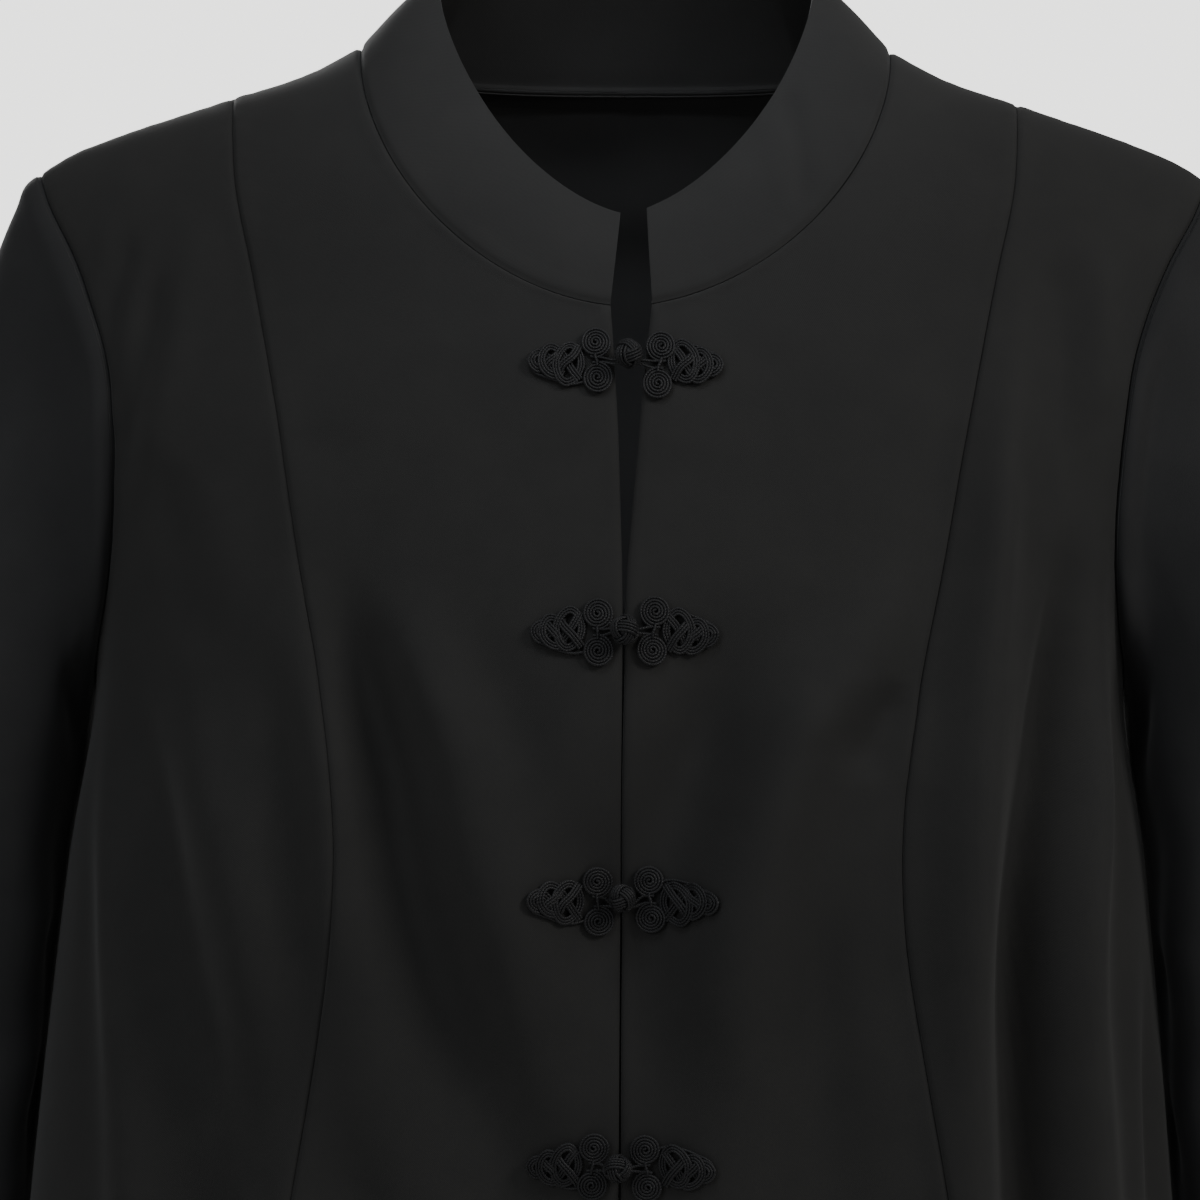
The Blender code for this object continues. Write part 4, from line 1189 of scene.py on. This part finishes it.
def halfPaths(side, number):
    # every cord of one frog half, drawn flat
    stretch = frogs["stretch"][number]
    across = frogs["centre"] + side * (frogs["coilAcross"] + stretch)
    paths = []
    ends = {}
    for up in (1, -1):
        shift = coilShifts[number][(0 if up > 0 else 1) + (2 if side > 0 else 0)]
        centre = (across + shift[0], up * frogs["coilApart"] + shift[1])
        # the upper coil ends at its foot and the lower one at its top, on the way to the knot
        coil = spiral(centre, -up * math.pi / 2, up * side)
        ends[up] = coil[-1]
        paths.append(coil)
    knotX = frogs["centre"] - side * 0.4
    sag = sags[number]
    for up, lift in ((1, 0.75), (-1, -0.55)):
        x, y, z = ends[up]
        leave = [(x + side * 1.6, y + up * 0.18, z), (x, y, z), (x - side * 1.8, y - up * 0.05, z)]
        low = lift - sag
        arrive = [((x + knotX) / 2, lift - sag * 0.8, 1.5), (knotX + side * 1.5, low, 1.9), (knotX, low, 2.0)]
        paths.append(throughPoints(leave + arrive, 34))
    # a short link between the two coils
    upper, lower = ends[1], ends[-1]
    link = [upper + [0, 1.0, 0.5], upper + [0, 0, 0.75], lower + [0, 0, 0.75], lower + [0, -1.2, 0.5]]
    paths.append(throughPoints(link, 14))
    start = frogs["leafStart"] + stretch
    return paths + leafPaths(side, start, 40 + number * 3 + side)


def knotPaths(number):
    # a button knot: three bands of cord, woven over and under each other round a ball
    t = np.linspace(0, 2 * math.pi, 66)
    radius = frogs["knotWrap"]
    tilt = Matrix.Rotation(0.4 + number * 0.9, 3, "Z") @ Matrix.Rotation(0.62, 3, "X")
    tilt = tilt @ Matrix.Rotation(0.7 + number, 3, "Y")
    paths = []
    for band in range(3):
        for lane in (-1.5, -0.5, 0.5, 1.5):
            aside = lane * frogs["cord"] * 0.9
            out = np.sqrt(radius**2 - aside**2) + 0.42 * np.cos(2 * t)
            ball = np.stack([out * np.cos(t), out * np.sin(t), aside + 0 * t], -1)
            paths.append(np.roll(ball, band, axis=1) @ np.array(tilt).T + knotCentre(number))
    return paths


def knotCentre(number):
    x, y = coilShifts[number][4]
    return np.array([frogs["centre"] + x, y, frogs["knot"] + 0.7])


def cordGroup():
    # geometry nodes: turns every path into twisted two-ply cord
    tree = bpy.data.node_groups.new("twistCord", "GeometryNodeTree")
    tree.is_modifier = True
    for name in ("Geometry", "thickness", "plyTurn", "step", "wobble", "seed", "material"):
        kind = {"Geometry": "Geometry", "material": "Material"}.get(name, "Float")
        tree.interface.new_socket(name, in_out="INPUT", socket_type="NodeSocket" + kind)
    tree.interface.new_socket("Geometry", in_out="OUTPUT", socket_type="NodeSocketGeometry")

    def node(kind, inputs=(), output=0, **values):
        return addNode(tree, "GeometryNode" + kind, inputs, **values).outputs[output]

    def vector(operation, inputs):
        return addNode(tree, "ShaderNodeVectorMath", inputs, operation=operation).outputs[0]

    source = addNode(tree, "NodeGroupInput").outputs
    line = node("ResampleCurve", {"Curve": source["Geometry"], "Length": source["step"]}, mode="LENGTH")
    # small unevenness, as hand-laid cord has
    inputs = {"Scale": cord["waver"], "Vector": node("InputPosition"), "W": source["seed"]}
    noise = addNode(tree, "ShaderNodeTexNoise", inputs, noise_dimensions="4D").outputs["Color"]
    shift = vector("SCALE", {0: vector("SUBTRACT", {0: noise, 1: (0.5, 0.5, 0.5)}), "Scale": source["wobble"]})
    line = node("SetPosition", {"Geometry": line, "Offset": shift})
    # twist
    turns = mathNode(tree, "DIVIDE", node("SplineParameter", output="Length"), source["plyTurn"])
    line = node("SetCurveTilt", {"Curve": line, "Tilt": mathNode(tree, "MULTIPLY", turns, 2 * math.pi)})
    # a two-ply section
    radius = mathNode(tree, "MULTIPLY", source["thickness"], 0.5)
    circle = node("CurvePrimitiveCircle", {"Resolution": 9, "Radius": radius}, "Curve")
    ply = vector("MULTIPLY", {0: node("InputPosition"), 1: cord["ply"]})
    section = node("SetPosition", {"Geometry": circle, "Position": ply})
    body = node("CurveToMesh", {"Fill Caps": True, "Curve": line, "Profile Curve": section})
    body = node("RealizeInstances", {0: body})
    body = node("SetMaterial", {"Geometry": body, "Material": source["material"]})
    addNode(tree, "NodeGroupOutput", {0: body})
    return tree


cordTree = cordGroup()
cordSockets = {item.name: item.identifier for item in cordTree.interface.items_tree if item.in_out == "INPUT"}


def cordObject(name, paths, seed):
    curve = bpy.data.curves.new(name, "CURVE")
    curve.dimensions = "3D"
    for path in paths:
        spline = curve.splines.new("POLY")
        spline.points.add(len(path) - 1)
        world = toWorld(path)
        spline.points.foreach_set("co", np.concatenate([world, np.ones((len(world), 1))], axis=1).ravel())
    made = bpy.data.objects.new(name, curve)
    bpy.context.scene.collection.objects.link(made)
    twist = made.modifiers.new("twistCord", "NODES")
    twist.node_group = cordTree
    values = {"thickness": frogs["cord"] * millimetre, "seed": float(seed), "material": cordMade}
    for key, value in {**values, **{key: cord[key] for key in ("plyTurn", "step", "wobble")}}.items():
        twist[cordSockets[key]] = value
    made = applied(made)
    made.data.shade_smooth()
    return made


def solidBall(radius, centre):
    # what the knot is wound on
    ball = bmesh.new()
    place = Matrix.Translation(centre)
    bmesh.ops.create_uvsphere(ball, u_segments=20, v_segments=12, radius=radius * millimetre, matrix=place)
    mesh = bpy.data.meshes.new("core")
    ball.to_mesh(mesh)
    ball.free()
    mesh.shade_smooth()
    return linkObject("core", mesh, cordMade)


def finishCord(made, node):
    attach(made, "root")
    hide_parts(node)


for number, height in enumerate(frogs["heights"]):
    for side, word in ((1, "Left"), (-1, "Right")):
        paths = [layOnFront(path + [0, 0, frogs["lift"]], height) for path in halfPaths(side, number)]
        made = cordObject(f"frog{number + 1}{word}", paths, number * 2 + side)
        finishCord(made, f"frog_{number + 1}_{word.lower()}")
    paths = [layOnFront(path + [0, 0, frogs["lift"]], height) for path in knotPaths(number)]
    made = cordObject(f"frog{number + 1}Knot", paths, number + 60)
    centre = layOnFront(knotCentre(number)[None] + [0, 0, frogs["lift"]], height)[0]
    made = joinInto(made, [solidBall(frogs["knotCore"], Vector(toWorld(centre)))])
    finishCord(made, f"frog_{number + 1}_knot")
print("frogs sewn on")

# stage: floor, light and camera
stage = {"size": 60, "floor": -1.42, "wall": (0.76, 0.76, 0.745), "seen": 3.2, "room": 0.54}


def plainMaterial(name, colour, rough):
    made, tree, shader, place = newMaterial(name)
    darker, lighter = [c * 0.97 for c in colour], [min(c * 1.03, 1) for c in colour]
    grain = noiseNode(tree, place, 14, 5, 0.6)
    setInputs(tree, shader, {"Base Color": mixNode(tree, grain, darker, lighter), "Roughness": rough})
    return made


bpy.ops.mesh.primitive_plane_add(size=stage["size"], location=(0, 0, stage["floor"]))
floor = bpy.context.object
floor.name = "floor"
floor.data.materials.append(plainMaterial("paleFloor", stage["wall"], 0.9))

world = bpy.data.worlds.new("paleRoom")
bpy.context.scene.world = world
world.use_nodes = True
tree = world.node_tree
sky = tree.nodes["Background"]
setInputs(tree, sky, {"Color": (*stage["wall"], 1), "Strength": stage["room"]})
# the camera sees the room brighter than it lights the cloth
seen = addNode(tree, "ShaderNodeBackground", {"Color": (*stage["wall"], 1), "Strength": stage["seen"]})
fromCamera = addNode(tree, "ShaderNodeLightPath").outputs["Is Camera Ray"]
mix = addNode(tree, "ShaderNodeMixShader", {0: fromCamera, 1: sky.outputs[0], 2: seen.outputs[0]})
setInputs(tree, tree.nodes["World Output"], {"Surface": mix.outputs[0]})

lights = {
    "keyLight": {"power": 43.0, "size": 0.8, "place": (1.95, -1.25, 1.25),
                 "aim": (0, 0, -0.22), "colour": (1.0, 0.985, 0.95)},
    "frontLight": {"power": 14.0, "size": 0.7, "place": (-0.4, -1.05, 1.75),
                   "aim": (0, -0.05, -0.05), "colour": (0.9, 0.95, 1.0)},
    "leftLight": {"power": 10.0, "size": 0.8, "place": (-1.2, -1.9, 0.45),
                  "aim": (-0.1, 0, -0.3), "colour": (0.93, 0.965, 1.0)},
    "behindLight": {"power": 30.0, "size": 0.9, "place": (-0.9, 2.1, 0.9),
                    "aim": (0, 0, -0.3), "colour": (1.0, 1.0, 1.0)},
}
neckSpot = {"power": 265.0, "angle": 4.9, "soft": 0.08, "place": (0.12, -1.45, 1.45),
            "aim": (0.0, -0.02, -0.03), "colour": (0.9, 0.94, 1.0)}


def addLight(name, kind, row):
    data = bpy.data.lights.new(name, kind)
    data.energy = row["power"]
    data.color = row["colour"]
    made = bpy.data.objects.new(name, data)
    bpy.context.scene.collection.objects.link(made)
    made.location = row["place"]
    towards = Vector(row["aim"]) - Vector(row["place"])
    made.rotation_euler = towards.to_track_quat("-Z", "Y").to_euler()
    made.visible_camera = False
    return data


for name, row in lights.items():
    addLight(name, "AREA", row).size = row["size"]
# a soft spot over the camera reaches down into the neck
spot = addLight("neckLight", "SPOT", neckSpot)
spot.spot_size = math.radians(neckSpot["angle"])
spot.spot_blend = 1.0
spot.shadow_soft_size = neckSpot["soft"]

view = {"far": 2.0, "lens": 180, "elevation": 2.5, "roll": 0.45, "aim": (-7.0, 0.0, -182.7)}
camera = bpy.data.cameras.new("camera")
camera.lens = view["lens"]
camera.sensor_width = 36
camera.clip_start = 0.05
cameraObject = bpy.data.objects.new("camera", camera)
bpy.context.scene.collection.objects.link(cameraObject)
aim = Vector(toWorld(np.array(view["aim"])))
tilt = math.radians(view["elevation"])
cameraObject.location = aim + Vector((0, -math.cos(tilt), math.sin(tilt))) * view["far"]
turn = Matrix.Rotation(math.pi / 2 - tilt, 4, "X") @ Matrix.Rotation(math.radians(view["roll"]), 4, "Z")
cameraObject.rotation_euler = turn.to_euler()
bpy.context.scene.camera = cameraObject
